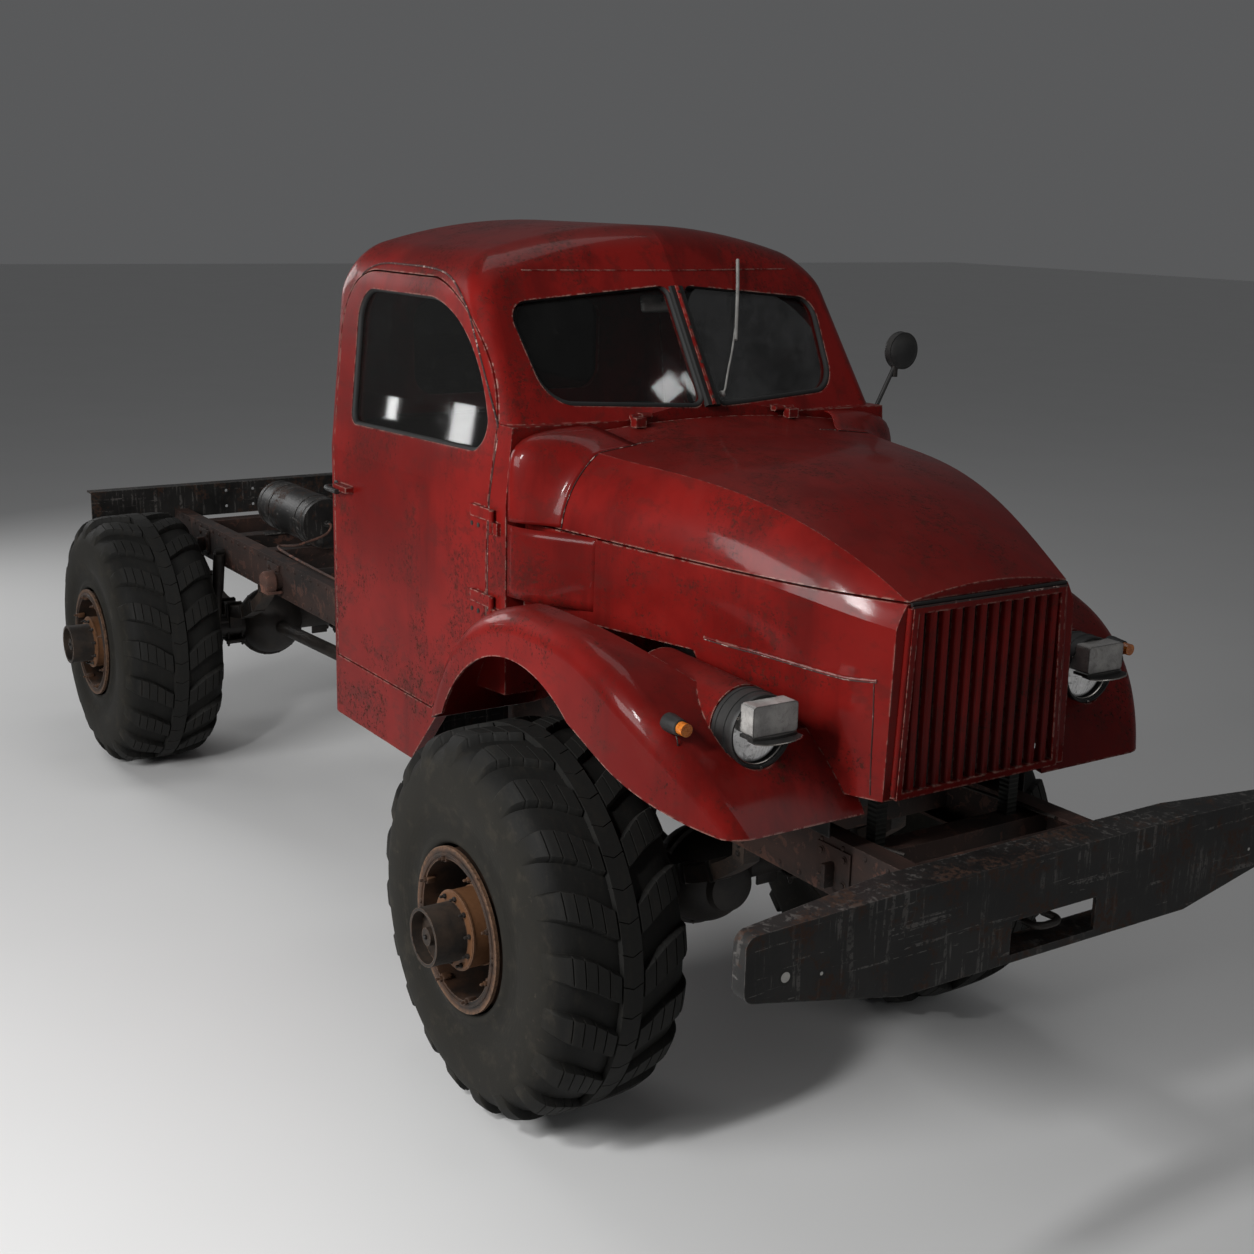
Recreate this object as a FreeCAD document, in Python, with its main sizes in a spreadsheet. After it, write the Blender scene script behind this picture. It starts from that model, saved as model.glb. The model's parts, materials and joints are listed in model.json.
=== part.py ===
# Lifted off-road truck: chassis and cab on four balloon tyres.
# Millimetres, +X forward, +Y left, +Z up, ground at zero, origin in the middle of the outer box.
# Lengths along X are measured from the front axle; each finished piece is then moved to the frame.

import FreeCAD
import Part
import Sketcher
import math
import os
import re
from FreeCAD import Vector

doc = FreeCAD.newDocument("OffRoadTruck")
sheet = doc.addObject("Spreadsheet::Sheet", "Dims")

SIZES = {
    # overall stance
    "wheelbase": 4120, "front_overhang": 1538, "rear_overhang": 730, "track": 1612, "fit": 0.3,
    "swing_gap": 6,
    # tyres and rims
    "tyre_radius": 650, "bead_radius": 262, "shoulder_half": 205, "shoulder_floor": 598,
    "shoulder_top": 630, "shoulder_slant": 100, "belly_half": 265, "belly_radius": 470,
    "bead_half": 240, "lug_height": 24, "rib_half": 36, "lug_width": 96, "lug_slant": 112,
    "lug_reach": 252, "lug_foot_radius": 548, "crown_half": 130, "crown_top": 647,
    "crown_slant": 68, "crown_floor": 620, "lug_count": 20, "rim_flange_radius": 275,
    "rim_flange_half": 268, "rim_barrel_radius": 245, "rim_wall": 12, "disc_offset": 60,
    "disc_thick": 16, "hub_radius": 97, "hub_face": 1190, "hub_barrel_radius": 130,
    "hub_barrel_face": 1080, "hub_bore": 42, "cup_wall": 11, "cup_depth": 42, "cap_radius": 30,
    # steering and axles
    "kingpin_in": 196, "kingpin_radius": 34, "knuckle_half": 90, "axle_radius": 62,
    "spindle_radius": 40, "diff_radius": 175, "diff_offset": 90, "fork_gap": 0.3, "fork_thick": 34,
    "fork_root": 60, "fork_half": 40, "ring_lip": 16, "ring_thick": 22, "brake_radius": 200,
    "brake_width": 70,
    # frame
    "rail_outer": 385, "rail_top": 1190, "rail_depth": 180, "rail_flange": 72, "rail_wall": 9,
    "member_width": 90, "member_offset": 450, "member_height": 120, "beam_depth": 80,
    "beam_half": 850, "beam_top": 1320, "beam_height": 180, "beam_wall": 10, "bolt_radius": 8.5,
    "tube_ahead": 920, "tube_z": 1090, "tube_radius": 42, "tube_half": 460, "front_plate_x": 1285,
    "front_plate_length": 110, "front_plate_drop": 50, "mount_rear": -1560, "mount_front": -760,
    "mount_length": 110, "bed_bolt_front": -2300, "bed_bolt_pitch": 1600, "hitch_pitch_y": 160,
    "hitch_pitch_z": 90,
    # bumper
    "bumper_plate": 12, "bumper_depth": 120, "bumper_half": 1080, "bumper_centre_half": 556,
    "bumper_top": 1247, "bumper_bottom": 950, "bumper_end_top": 1235, "bumper_end_bottom": 1062,
    "bumper_end_depth": 45, "slot_half": 167, "slot_low": 974, "slot_high": 1074, "tow_depth": 90,
    "bumper_round": 34,
    # springs
    "spring_y": 310, "spring_width": 65, "spring_pack": 60, "spring_half": 560, "spring_rise": 215,
    "spring_radius": 840, "saddle_half": 70, "hanger_width": 60,
    # cab
    "cab_rear": -1630, "cab_front": -170, "cab_half": 800, "cab_bottom": 930, "belt_line": 2000,
    "cab_half_roof": 730, "cab_roof": 2870, "cab_eave": 2745, "crown_radius": 2200, "cab_wall": 45,
    "sill_end": -880, "toe_x": -500, "toe_z": 1335, "cowl_bottom": 1360, "cowl_top": 2245,
    "screen_foot": -150, "screen_foot_z": 2279, "screen_lean": 0.651, "screen_vee": 0.12,
    "floor_top": 1275, "floor_thick": 45, "roof_round": 190, "back_round": 90, "pillar_round": 70,
    # door
    "door_rear": -1535, "door_low": 1175, "door_back_top": 2440, "door_top": 2680,
    "door_top_rear": -1290, "door_top_front": -800, "door_nose": -272, "door_nose_z": 2240,
    "door_front": -305, "door_waist": 1800, "door_toe_x": -500, "door_toe_z": 1430,
    "door_cut_x": -710, "door_front_low": 1560, "door_corner": 250, "door_brow": 640,
    "door_lap": 60, "hinge_x": -240, "hinge_y": 814, "hinge_radius": 9, "hinge_length": 40,
    "hinge_low": 1600, "hinge_high": 1890, "hinge_foot": 35, "hinge_strap": 150,
    # side window
    "pane_rear": -1398, "pane_low": 2112, "pane_corner": 45, "pane_back_top": 2505,
    "pane_top": 2618, "pane_top_rear": -1280, "pane_top_front": -800, "pane_nose": -335,
    "pane_nose_z": 2250, "pane_brow": 560, "pane_front_low": -425, "pane_front_z": 2137,
    "pane_chin": 110, "pane_head": 125, "glass_thick": 6, "glass_inset": 18,
    # windscreen and rear window
    "screen_bar": 26, "screen_out_low": 604, "screen_low": 2275, "screen_out_high": 652,
    "screen_high": 2672, "screen_out_z": 2618, "screen_out_foot": 2300, "rear_pane_half": 430,
    "rear_pane_low": 2180, "rear_pane_high": 2560, "rear_pane_round": 90, "screen_round": 70,
    "screen_round_low": 115, "screen_round_in": 38, "screen_start": 700, "rear_reach": 300,
    "over": 50, "far_over": 300, "sink": 5, "floor_share": 5, "toe_share": 3, "roof_band": 120,
    "screen_reach": 500, "floor_inset": 10, "floor_stop": 60,
    # bonnet
    "hood_thick": 14, "bonnet_low": 1345, "seam_rear": 1945, "seam_front": 1912, "side_low": 1660,
    "side_cut_x": 560, "radiator_front": 1200, "lid_hinge_x": -150, "lid_hinge_y": 300,
    "lid_hinge_z": 2260, "lid_hinge_drop": 32, "hood_rear": -155, "cowl_low": 735, "cowl_seam": 728,
    "cowl_seam_z": 1945, "cowl_ridge": 600, "cowl_ridge_z": 2205, "cowl_crown": 4200,
    "back_low": 632, "back_seam": 622, "back_seam_z": 1935, "back_ridge": 505, "back_ridge_z": 2158,
    "back_crown": 3200, "mid_low": 505, "mid_seam": 494, "mid_seam_z": 1905, "mid_ridge": 398,
    "mid_ridge_z": 2085, "mid_crown": 2200, "brow_low": 412, "brow_seam": 400, "brow_seam_z": 1860,
    "brow_ridge": 330, "brow_ridge_z": 1975, "brow_crown": 1800, "nose_low": 358, "nose_seam": 346,
    "nose_seam_z": 1840, "nose_ridge": 308, "nose_ridge_z": 1912, "nose_crown": 1500, "back_x": 330,
    "mid_x": 800, "brow_x": 1080, "side_bow": 320, "side_step": 120, "side_drop": 200,
    # grille
    "grille_top": 1900, "grille_low": 1345, "grille_half_top": 296, "grille_half_low": 318,
    "grille_depth": 26, "grille_frame": 20, "rib_count": 12, "rib_width": 26, "rib_round": 9,
    "rib_back": 4,
    # fenders
    "fender_in": 545, "fender_out": 980, "fender_sheet": 9, "arch_x": 200, "arch_radius": 532,
    "tail_z": 1235, "heel_z": 1296, "fender_room": 500, "apron_run": 210, "crest_x": 250,
    "crest_z": 1060, "crest_radius": 690, "fender_round": 75, "bow_x": 390, "bow_radius": 815,
    "nose_low_z": 1285, "taper_x": 700, "taper_end": 1210, "taper_radius": 560, "fender_ridge": 850,
    "fender_valley": 1512, "valley_y": 560, "lip_x": 520, "lip_front_x": 1085, "apron_x": 620,
    "apron_in": 390, "apron_front": 330,
    # lamps
    "lamp_y": 653, "lamp_z": 1547, "lamp_face": 1020, "lamp_radius": 107, "lamp_depth": 92,
    "nacelle_back": 520, "nacelle_radius": 112, "lens_radius": 94, "lens_rise": 26, "lamp_rim": 8,
    "lamp_recess": 32, "shade_half": 77, "shade_low": 8, "shade_high": 96, "shade_out": 58,
    "shade_wall": 4, "shade_round": 12, "visor_bow": 230, "visor_thick": 9, "nacelle_root": 122,
    "signal_x": 960, "signal_y": 880, "signal_z": 1575, "signal_radius": 19, "signal_length": 22,
    # heavy inner pieces
    "engine_rear": -80, "engine_front": 820, "engine_half": 230, "engine_top": 1720,
    "gearbox_rear": -1150, "gearbox_half": 170, "gearbox_low": 860, "transfer_low": 700,
    "gearbox_top": 1170, "radiator_back": 1060, "radiator_depth": 70, "radiator_half": 285,
    "radiator_low": 1350, "radiator_leg": 40, "radiator_top": 1860, "shaft_radius": 34,
    "shaft_rise": 70, "shaft_seat": 12, "transfer_start": 150, "transfer_end": 450,
    "transfer_half": 90, "tank_radius": 130, "tank_length": 640, "tank_back": 30,
    # cab fittings
    "seat_front": -960, "seat_half": 690, "seat_low": 1500, "seat_top": 1680, "back_thick": 140,
    "back_top": 2140, "seat_round": 42, "dash_round": 38, "dash_back": -420, "dash_low": 1880,
    "dash_top": 2130, "dash_half": 715, "wheel_y": 360, "wheel_x": -640, "wheel_z": 2120,
    "column_tilt": 35, "wheel_ring": 205, "wheel_tube": 13, "column_radius": 20, "boss_radius": 34,
    "boss_length": 42, "boss_drop": 30, "spoke_radius": 8, "column_reach": 900, "mirror_y": 905,
    "mirror_z": 2435, "mirror_x": -225, "mirror_radius": 68, "mirror_thick": 26,
    "mirror_foot_z": 2195, "mirror_sink": 25, "arm_radius": 8, "wiper_radius": 5, "wiper_y": 170,
    "wiper_height": 350, "wiper_rise": 14, "handle_x": -1480, "handle_z": 1850,
    "handle_length": 120, "handle_out": 34, "handle_height": 22,
}


def set_up_sheet():
    for row, (name, number) in enumerate(SIZES.items(), start=1):
        cell = "A%d" % row
        sheet.set(cell, str(number))
        sheet.setAlias(cell, name)
    doc.recompute()


def bound(formula):
    """The formula with each size name pointing into the sheet."""
    return re.sub(r"\b([a-z][a-z_]+)\b(?!\()", r"Dims.\1", formula)


def value(formula):
    return float(sheet.evalExpression(bound(formula)))


set_up_sheet()
FRONT_AXLE = "(front_overhang + wheelbase + rear_overhang) / 2 - front_overhang"
ROTATIONS = {"XY": FreeCAD.Rotation(), "XZ": FreeCAD.Rotation(Vector(1, 0, 0), 90),
             "YZ": FreeCAD.Rotation(Vector(1, 1, 1), 120)}
NODES = []


def rounded_edge(start, end, radius, left):
    """A circle's arc between two corners, its centre to the left or right of the way."""
    chord = end - start
    middle = (start + end) * 0.5
    reach = max(radius * radius - chord.Length * chord.Length / 4, 0) ** 0.5
    side = Vector(-chord.y, chord.x, 0).normalize()
    centre = middle + side * (reach if left else -reach)
    first, last = (start, end) if left else (end, start)
    angles = [(point - centre) for point in (first, last)]
    turns = [FreeCAD.Vector(1, 0, 0).getAngle(arm) * (1 if arm.y >= 0 else -1) for arm in angles]
    return Part.ArcOfCircle(Part.Circle(centre, Vector(0, 0, 1), radius), turns[0], turns[1])


def draw(sketch, corners):
    """Close an outline through the corners and hold every corner and radius by a size.

    A corner is (across, up) or (across, up, radius, turn): the edge that leaves it is then an arc.
    """
    points = [Vector(value(corner[0]), value(corner[1]), 0) for corner in corners]
    count = len(points)
    arcs = [corner[3] if len(corner) > 2 else None for corner in corners]
    for index, start in enumerate(points):
        end = points[(index + 1) % count]
        if arcs[index] is None:
            sketch.addGeometry(Part.LineSegment(start, end), False)
        else:
            radius = value(corners[index][2])
            sketch.addGeometry(rounded_edge(start, end, radius, arcs[index] == "left"), False)
    starts = [2 if turn == "right" else 1 for turn in arcs]
    ends = [1 if turn == "right" else 2 for turn in arcs]
    for index in range(count):
        after = (index + 1) % count
        sketch.addConstraint(Sketcher.Constraint("Coincident", index, ends[index], after, starts[after]))
    for index, corner in enumerate(corners):
        for kind, formula in (("DistanceX", corner[0]), ("DistanceY", corner[1])):
            hold(sketch, Sketcher.Constraint(kind, -1, 1, index, starts[index], value(formula)), formula)
        if arcs[index] is not None:
            hold(sketch, Sketcher.Constraint("Radius", index, value(corner[2])), corner[2])
    return sketch


def hold(sketch, constraint, formula):
    number = sketch.addConstraint(constraint)
    sketch.setExpression("Constraints[%d]" % number, bound(formula))


def sketch_in(body, plane, corners, offset="0"):
    """An outline in one of the body's own origin planes, moved along the plane's normal."""
    sketch = body.newObject("Sketcher::SketchObject", body.Name + "Outline")
    role = plane + "_Plane"
    support = [item for item in body.Origin.OriginFeatures if item.Role == role][0]
    sketch.AttachmentSupport = (support, [""])
    sketch.MapMode = "FlatFace"
    sketch.setExpression("AttachmentOffset.Base.z", bound(offset))
    return draw(sketch, corners)


def free_sketch(name, plane, corners, offset):
    sketch = doc.addObject("Sketcher::SketchObject", name)
    sketch.Placement = FreeCAD.Placement(Vector(), ROTATIONS[plane])
    axis = {"XY": "z", "XZ": "y", "YZ": "x"}[plane]
    sketch.setExpression("Placement.Base." + axis, bound(offset))
    return draw(sketch, corners)


def pad(name, plane, corners, start, end):
    """A straight pad of an outline between two places on the plane's normal.

    Along XZ the places are measured to the left, +Y.
    """
    body = doc.addObject("PartDesign::Body", name)
    add_pad(body, plane, corners, start, end)
    return body


def add_pad(body, plane, corners, start, end):
    away = "-(%s)" % end if plane == "XZ" else start
    sketch = sketch_in(body, plane, corners, away)
    feature = body.newObject("PartDesign::Pad", body.Name + "Pad")
    feature.Profile = sketch
    feature.setExpression("Length", bound("(%s) - (%s)" % (end, start)))
    doc.recompute()
    return feature


def add_pocket(body, plane, corners, start, end):
    """Cut an outline out of the body between two places, and see that it cuts."""
    before = body.Shape.Volume
    away = "-(%s)" % start if plane == "XZ" else end
    sketch = sketch_in(body, plane, corners, away)
    feature = body.newObject("PartDesign::Pocket", body.Name + "Pocket")
    feature.Profile = sketch
    feature.setExpression("Length", bound("(%s) - (%s)" % (end, start)))
    doc.recompute()
    if body.Shape.Volume >= before:
        raise RuntimeError("nothing was cut from " + body.Name)
    return feature


def add_revolution(body, plane, corners, axis):
    sketch = sketch_in(body, plane, corners)
    feature = body.newObject("PartDesign::Revolution", body.Name + "Turn")
    feature.Profile = sketch
    feature.ReferenceAxis = (sketch, [axis])
    feature.Angle = 360
    doc.recompute()
    return feature


def revolved(name, plane, corners, axis):
    body = doc.addObject("PartDesign::Body", name)
    add_revolution(body, plane, corners, axis)
    return body


def box(name, low, high):
    """A block between two opposite corners given as size formulas."""
    block = doc.addObject("Part::Box", name)
    for side, axis, first, last in zip(("Length", "Width", "Height"), "xyz", low, high):
        block.setExpression(side, bound("(%s) - (%s)" % (last, first)))
        block.setExpression("Placement.Base." + axis, bound(first))
    return block


def rod(name, radius, length, place, direction):
    """A round bar from a place along a direction, X, Y or Z."""
    bar = doc.addObject("Part::Cylinder", name)
    turns = {"X": FreeCAD.Rotation(Vector(0, 1, 0), 90), "Y": FreeCAD.Rotation(Vector(1, 0, 0), -90),
             "Z": FreeCAD.Rotation()}
    bar.Placement = FreeCAD.Placement(Vector(), turns[direction])
    bar.setExpression("Radius", bound(radius))
    bar.setExpression("Height", bound(length))
    for axis, formula in zip("xyz", place):
        bar.setExpression("Placement.Base." + axis, bound(formula))
    return bar


def boolean(kind, name, base, tool):
    result = doc.addObject("Part::" + kind, name)
    result.Base = base
    result.Tool = tool
    doc.recompute()
    return result


def cut(name, base, *tools):
    for index, tool in enumerate(tools):
        base = boolean("Cut", "%s%d" % (name, index), base, tool)
    return base


def common(name, base, *tools):
    for index, tool in enumerate(tools):
        base = boolean("Common", "%s%d" % (name, index), base, tool)
    return base


def fuse(name, *pieces):
    result = doc.addObject("Part::MultiFuse", name)
    result.Shapes = list(pieces)
    result.Refine = True
    doc.recompute()
    return result


def group(name, *pieces):
    result = doc.addObject("Part::Compound", name)
    result.Links = list(pieces)
    doc.recompute()
    return result


def mirror(name, source):
    result = doc.addObject("Part::Mirroring", name)
    result.Source = source
    result.Normal = Vector(0, 1, 0)
    doc.recompute()
    return result


def soften(name, source, *rules):
    """Round the edges that each rule chooses, a rule being a radius and a test."""
    result = doc.addObject("Part::Fillet", name)
    result.Base = source
    rounded = []
    for index, edge in enumerate(source.Shape.Edges, start=1):
        fitting = [value(radius) for radius, chosen in rules if chosen(edge)]
        if fitting:
            rounded.append((index, fitting[0], fitting[0]))
    result.Edges = rounded
    doc.recompute()
    return result


def node(source, label, x=FRONT_AXLE):
    """Name a finished piece and move it from the axle's place to the frame."""
    source.Label = label
    own = {path: text for path, text in source.ExpressionEngine}
    before = own.get("Placement.Base.x", own.get(".Placement.Base.x"))
    shift = bound("(%s)" % x) + (" + (%s)" % before if before else "")
    source.setExpression("Placement.Base.x", shift)
    NODES.append(source)
    return source


def both_sides(source, label):
    """One piece on the left and its mirror image on the right, as two nodes."""
    node(source, label + "_left")
    doc.recompute()
    other = mirror(source.Name + "Right", source)
    other.Label = label + "_right"
    NODES.append(other)


def middle(edge):
    return edge.BoundBox.Center


def runs(edge, axis):
    spans = {"x": edge.BoundBox.XLength, "y": edge.BoundBox.YLength, "z": edge.BoundBox.ZLength}
    return spans[axis] > 0.9 * sum(spans.values())


# Frame: two channel rails, open towards each other, with members between them.

def make_rails():
    out, top = "rail_outer", "rail_top"
    low = "rail_top - rail_depth"
    section = (("rail_outer - rail_flange", low), (out, low), (out, top),
               ("rail_outer - rail_flange", top), ("rail_outer - rail_flange", "rail_top - rail_wall"),
               ("rail_outer - rail_wall", "rail_top - rail_wall"),
               ("rail_outer - rail_wall", "rail_top - rail_depth + rail_wall"),
               ("rail_outer - rail_flange", "rail_top - rail_depth + rail_wall"))
    rail = pad("Rail", "YZ", section, "beam_depth - wheelbase - rear_overhang",
               "front_overhang - bumper_plate")
    holes = [rod("RailHole%d" % index, "bolt_radius", "3 * rail_wall",
                 (place, "rail_outer - rail_flange / 2", "rail_top - 2 * rail_wall"), "Z")
             for index, place in enumerate(("bed_bolt_front", "bed_bolt_front - bed_bolt_pitch"))]
    axis = ("tube_ahead - wheelbase", "0", "tube_z")
    holes.append(rod("TubeHole", "tube_radius + fit", "2 * rail_outer", axis, "Y"))
    both_sides(cut("RailDrilled", rail, *holes), "frame_rail")


MEMBER_PLACES = ("0 - wheelbase - member_offset", "0 - wheelbase + member_offset",
                 "over - wheelbase - tank_back", "cab_rear - 4 * over", "gearbox_rear - member_width",
                 "engine_rear + 2 * over", "engine_front - 4 * over", "radiator_back - sink")


def make_members():
    members = []
    for index, place in enumerate(MEMBER_PLACES):
        reach = "rail_outer - rail_wall"
        centre = "rail_top - rail_depth / 2"
        members.append(box("Member%d" % index,
                           (place, "-(%s)" % reach, centre + " - member_height / 2"),
                           (place + " + member_width", reach, centre + " + member_height / 2")))
    for index, place in enumerate(("mount_rear", "mount_front")):
        block = box("CabMount%d" % index, (place, "rail_outer - rail_flange", "rail_top + fit"),
                    (place + " + mount_length", "rail_outer", "floor_top - floor_thick - fit"))
        members += [block, mirror("CabMountRight%d" % index, block)]
    members.append(rod("Tube", "tube_radius", "2 * tube_half",
                       ("tube_ahead - wheelbase", "0 - tube_half", "tube_z"), "Y"))
    members.append(box("FrontPlate",
                       ("front_plate_x", "rail_wall - rail_outer", "rail_top - front_plate_drop"),
                       ("front_plate_x + front_plate_length", "rail_outer - rail_wall",
                        "rail_top - rail_wall - fit")))
    node(group("Members", *members), "cross_members")


def make_rear_beam():
    start = "0 - wheelbase - rear_overhang"
    top, low = "beam_top", "beam_top - beam_height"
    end = start + " + beam_depth"
    section = ((start, low), (end, low), (end, top), (start, top),
               (start, "beam_top - beam_wall"), (end + " - beam_wall", "beam_top - beam_wall"),
               (end + " - beam_wall", "beam_top - beam_height + beam_wall"),
               (start, "beam_top - beam_height + beam_wall"))
    beam = pad("RearBeam", "XZ", section, "0 - beam_half", "beam_half")
    holes = []
    for across in ("hitch_pitch_y / 2", "0 - hitch_pitch_y / 2"):
        for up in ("hitch_pitch_z / 2", "0 - hitch_pitch_z / 2"):
            spot = (end + " - 2 * beam_wall", across, "beam_top - beam_height / 2 + " + up)
            holes.append(rod("BeamHole%d" % len(holes), "bolt_radius", "3 * beam_wall", spot, "X"))
    node(cut("BeamDrilled", beam, *holes), "rear_beam")


# Bumper: a plate with folded flanges, its ends cut up and swept back, and a tow cut-out.

def make_bumper():
    face = "front_overhang"
    front = (("0 - bumper_half", "bumper_end_bottom"), ("0 - bumper_centre_half", "bumper_bottom"),
             ("bumper_centre_half", "bumper_bottom"), ("bumper_half", "bumper_end_bottom"),
             ("bumper_half", "bumper_end_top"), ("bumper_centre_half", "bumper_top"),
             ("0 - bumper_centre_half", "bumper_top"), ("0 - bumper_half", "bumper_end_top"))
    inner = (("0 - bumper_half + bumper_plate", "bumper_end_bottom + bumper_plate"),
             ("0 - bumper_centre_half", "bumper_bottom + bumper_plate"),
             ("bumper_centre_half", "bumper_bottom + bumper_plate"),
             ("bumper_half - bumper_plate", "bumper_end_bottom + bumper_plate"),
             ("bumper_half - bumper_plate", "bumper_end_top - bumper_plate"),
             ("bumper_centre_half", "bumper_top - bumper_plate"),
             ("0 - bumper_centre_half", "bumper_top - bumper_plate"),
             ("0 - bumper_half + bumper_plate", "bumper_end_top - bumper_plate"))
    body = pad("Bumper", "YZ", front, face + " - bumper_depth", face)
    add_pocket(body, "YZ", inner, face + " - bumper_depth - over", face + " - bumper_plate")
    slot = (("0 - slot_half", "slot_low"), ("slot_half", "slot_low"), ("slot_half", "slot_high"),
            ("0 - slot_half", "slot_high"))
    add_pocket(body, "YZ", slot, face + " - bumper_plate - fit", face + " + fit")
    plan = ((face + " - bumper_depth", "0 - bumper_centre_half"),
            (face + " - bumper_end_depth", "0 - bumper_half - over"),
            (face + " - bumper_depth - over", "0 - bumper_half - over"),
            (face + " - bumper_depth - over", "bumper_half + over"),
            (face + " - bumper_end_depth", "bumper_half + over"),
            (face + " - bumper_depth", "bumper_centre_half"))
    add_pocket(body, "XY", plan, "bumper_bottom - over", "bumper_top + over")
    soft = soften("BumperSoft", body, ("bumper_round", is_bumper_end))
    shelf = box("BumperShelf", (face + " - tow_depth", "0 - slot_half", "slot_low - bumper_plate"),
                (face + " - bumper_plate", "slot_half", "slot_low"))
    node(fuse("BumperSet", soft, shelf), "front_bumper")


def is_bumper_end(edge):
    return abs(middle(edge).y) > value("bumper_half - fit") and not runs(edge, "z")


# Wheels: a tyre in flat facets with two rows of lugs, a deep rim with its disc, and a long hub.

def tread_ring(turn_mm, radius, y):
    """Corners round the tyre: where each lug starts and ends, turned by a length on the tread."""
    pitch = 2 * math.pi / value("lug_count")
    half = value("lug_width") / value("tyre_radius") / 2
    turn = value(turn_mm) / value("tyre_radius")
    reach = radius / math.cos(half)
    angles = [pitch * index + edge for index in range(int(value("lug_count"))) for edge in (-half, half)]
    return [Vector(reach * math.cos(angle + turn), y, reach * math.sin(angle + turn)) for angle in angles]


def strip(first, second, places):
    """Triangles between two rings of corners, at the given places round them."""
    count = len(first)
    made = []
    for index in places:
        after = (index + 1) % count
        made += [(first[index], first[after], second[after]), (first[index], second[after], second[index])]
    return made


def walls(low, high, after_low, after_high):
    """Triangles of each lug's side walls between two rings; the last ones end in a point."""
    made = []
    for corners in zip(low, high, after_high, after_low):
        foot, top, after_top, after_foot = corners
        made.append((foot, top, after_top))
        if after_top.distanceToPoint(after_foot) > value("fit"):
            made.append((foot, after_top, after_foot))
    return made


STATIONS_ACROSS = (("0", "tyre_radius", "tyre_radius - lug_height", "rib_half"),
                   ("crown_slant", "crown_top", "crown_floor", "crown_half"),
                   ("shoulder_slant", "shoulder_top", "shoulder_floor", "shoulder_half"),
                   ("lug_slant", "lug_foot_radius", "lug_foot_radius", "lug_reach"))
WALL_RINGS = (("belly_radius", "belly_half"), ("bead_radius", "bead_half"))


def tread_side(side):
    """Triangles of one half of the tyre, and its rings at the rib and at the bead."""
    everywhere = range(2 * int(value("lug_count")))
    lugs, gaps = everywhere[::2], everywhere[1::2]
    tops = [tread_ring(turn, value(top), value(y) * side) for turn, top, low, y in STATIONS_ACROSS]
    lows = [tread_ring(turn, value(low), value(y) * side) for turn, top, low, y in STATIONS_ACROSS]
    made = strip(tops[0], lows[0], gaps)
    for index in range(len(tops) - 1):
        made += strip(tops[index], tops[index + 1], lugs)
        made += strip(lows[index], lows[index + 1], gaps)
        made += walls(lows[index], tops[index], lows[index + 1], tops[index + 1])
    rings = [tops[-1]] + [tread_ring("lug_slant", value(radius), value(y) * side) for radius, y in WALL_RINGS]
    for index in range(len(rings) - 1):
        made += strip(rings[index], rings[index + 1], everywhere)
    return made, tops[0], rings[-1]


def make_tread():
    """One tyre in flat facets about the middle of its axle line, its lugs in two rows beside a rib."""
    left, left_rib, left_bead = tread_side(1)
    right, right_rib, right_bead = tread_side(-1)
    everywhere = range(len(left_rib))
    triangles = left + right + strip(left_rib, right_rib, everywhere)
    triangles += strip(left_bead, right_bead, everywhere)
    faces = [Part.Face(Part.makePolygon([*corners, corners[0]])) for corners in triangles]
    shell = Part.makeShell(faces)
    shell.sewShape()
    solid = Part.Solid(shell)
    if solid.Volume < 0:
        solid.reverse()
    tread = doc.addObject("Part::Feature", "Tread")
    tread.Shape = solid
    return tread


def make_tyre(master, label, x, side):
    finish_wheel(group("Tyre" + label.replace("_", ""), master), "tyre_" + label, x, side)


def make_rim(label, x, side):
    turn = "1" if side > 0 else "-1"
    inner = "rim_barrel_radius - rim_wall"
    disc_in = "disc_offset"
    disc_out = "disc_offset + disc_thick"
    hub_end = "hub_face - track / 2"
    barrel_end = "hub_barrel_face - track / 2"
    profile = (("hub_bore", "0 - disc_offset"), ("hub_barrel_radius", "0 - disc_offset"),
               ("hub_barrel_radius", disc_in), (inner, disc_in), (inner, "0 - rim_flange_half"),
               ("rim_flange_radius", "0 - rim_flange_half"),
               ("rim_flange_radius", "0 - rim_flange_half + rim_wall"),
               ("bead_radius - fit", "0 - rim_flange_half + rim_wall"),
               ("bead_radius - fit", "rim_flange_half - rim_wall"),
               ("rim_flange_radius", "rim_flange_half - rim_wall"),
               ("rim_flange_radius", "rim_flange_half"), (inner, "rim_flange_half"),
               (inner, disc_out), ("hub_barrel_radius", disc_out), ("hub_barrel_radius", barrel_end),
               ("hub_radius", barrel_end), ("hub_radius", hub_end), ("hub_radius - cup_wall", hub_end),
               ("hub_radius - cup_wall", hub_end + " - cup_depth"), ("cap_radius", hub_end + " - cup_depth"),
               ("cap_radius", hub_end + " - cup_wall"), ("0", hub_end + " - cup_wall"),
               ("0", "disc_offset"), ("hub_bore", "disc_offset"))
    corners = [(across, "(%s) * %s" % (up, turn)) for across, up in profile]
    if side < 0:
        corners = corners[::-1]
    body = revolved("Rim" + label.replace("_", ""), "XY", corners, "V_Axis")
    finish_wheel(body, "wheel_" + label, x, side)


def finish_wheel(body, label, x, side):
    body.setExpression("Placement.Base.y", bound("track / 2 * (%d)" % side))
    body.setExpression("Placement.Base.z", bound("tyre_radius"))
    node(body, label, "%s + (%s)" % (FRONT_AXLE, x))


def make_wheels():
    master = make_tread()
    for end, x in (("front", "0"), ("rear", "0 - wheelbase")):
        for name, side in (("left", 1), ("right", -1)):
            make_tyre(master, "%s_%s" % (end, name), x, side)
            make_rim("%s_%s" % (end, name), x, side)


# Axles: tube with a round gear housing; the front one ends in forks that hold the steering knuckles.

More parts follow.
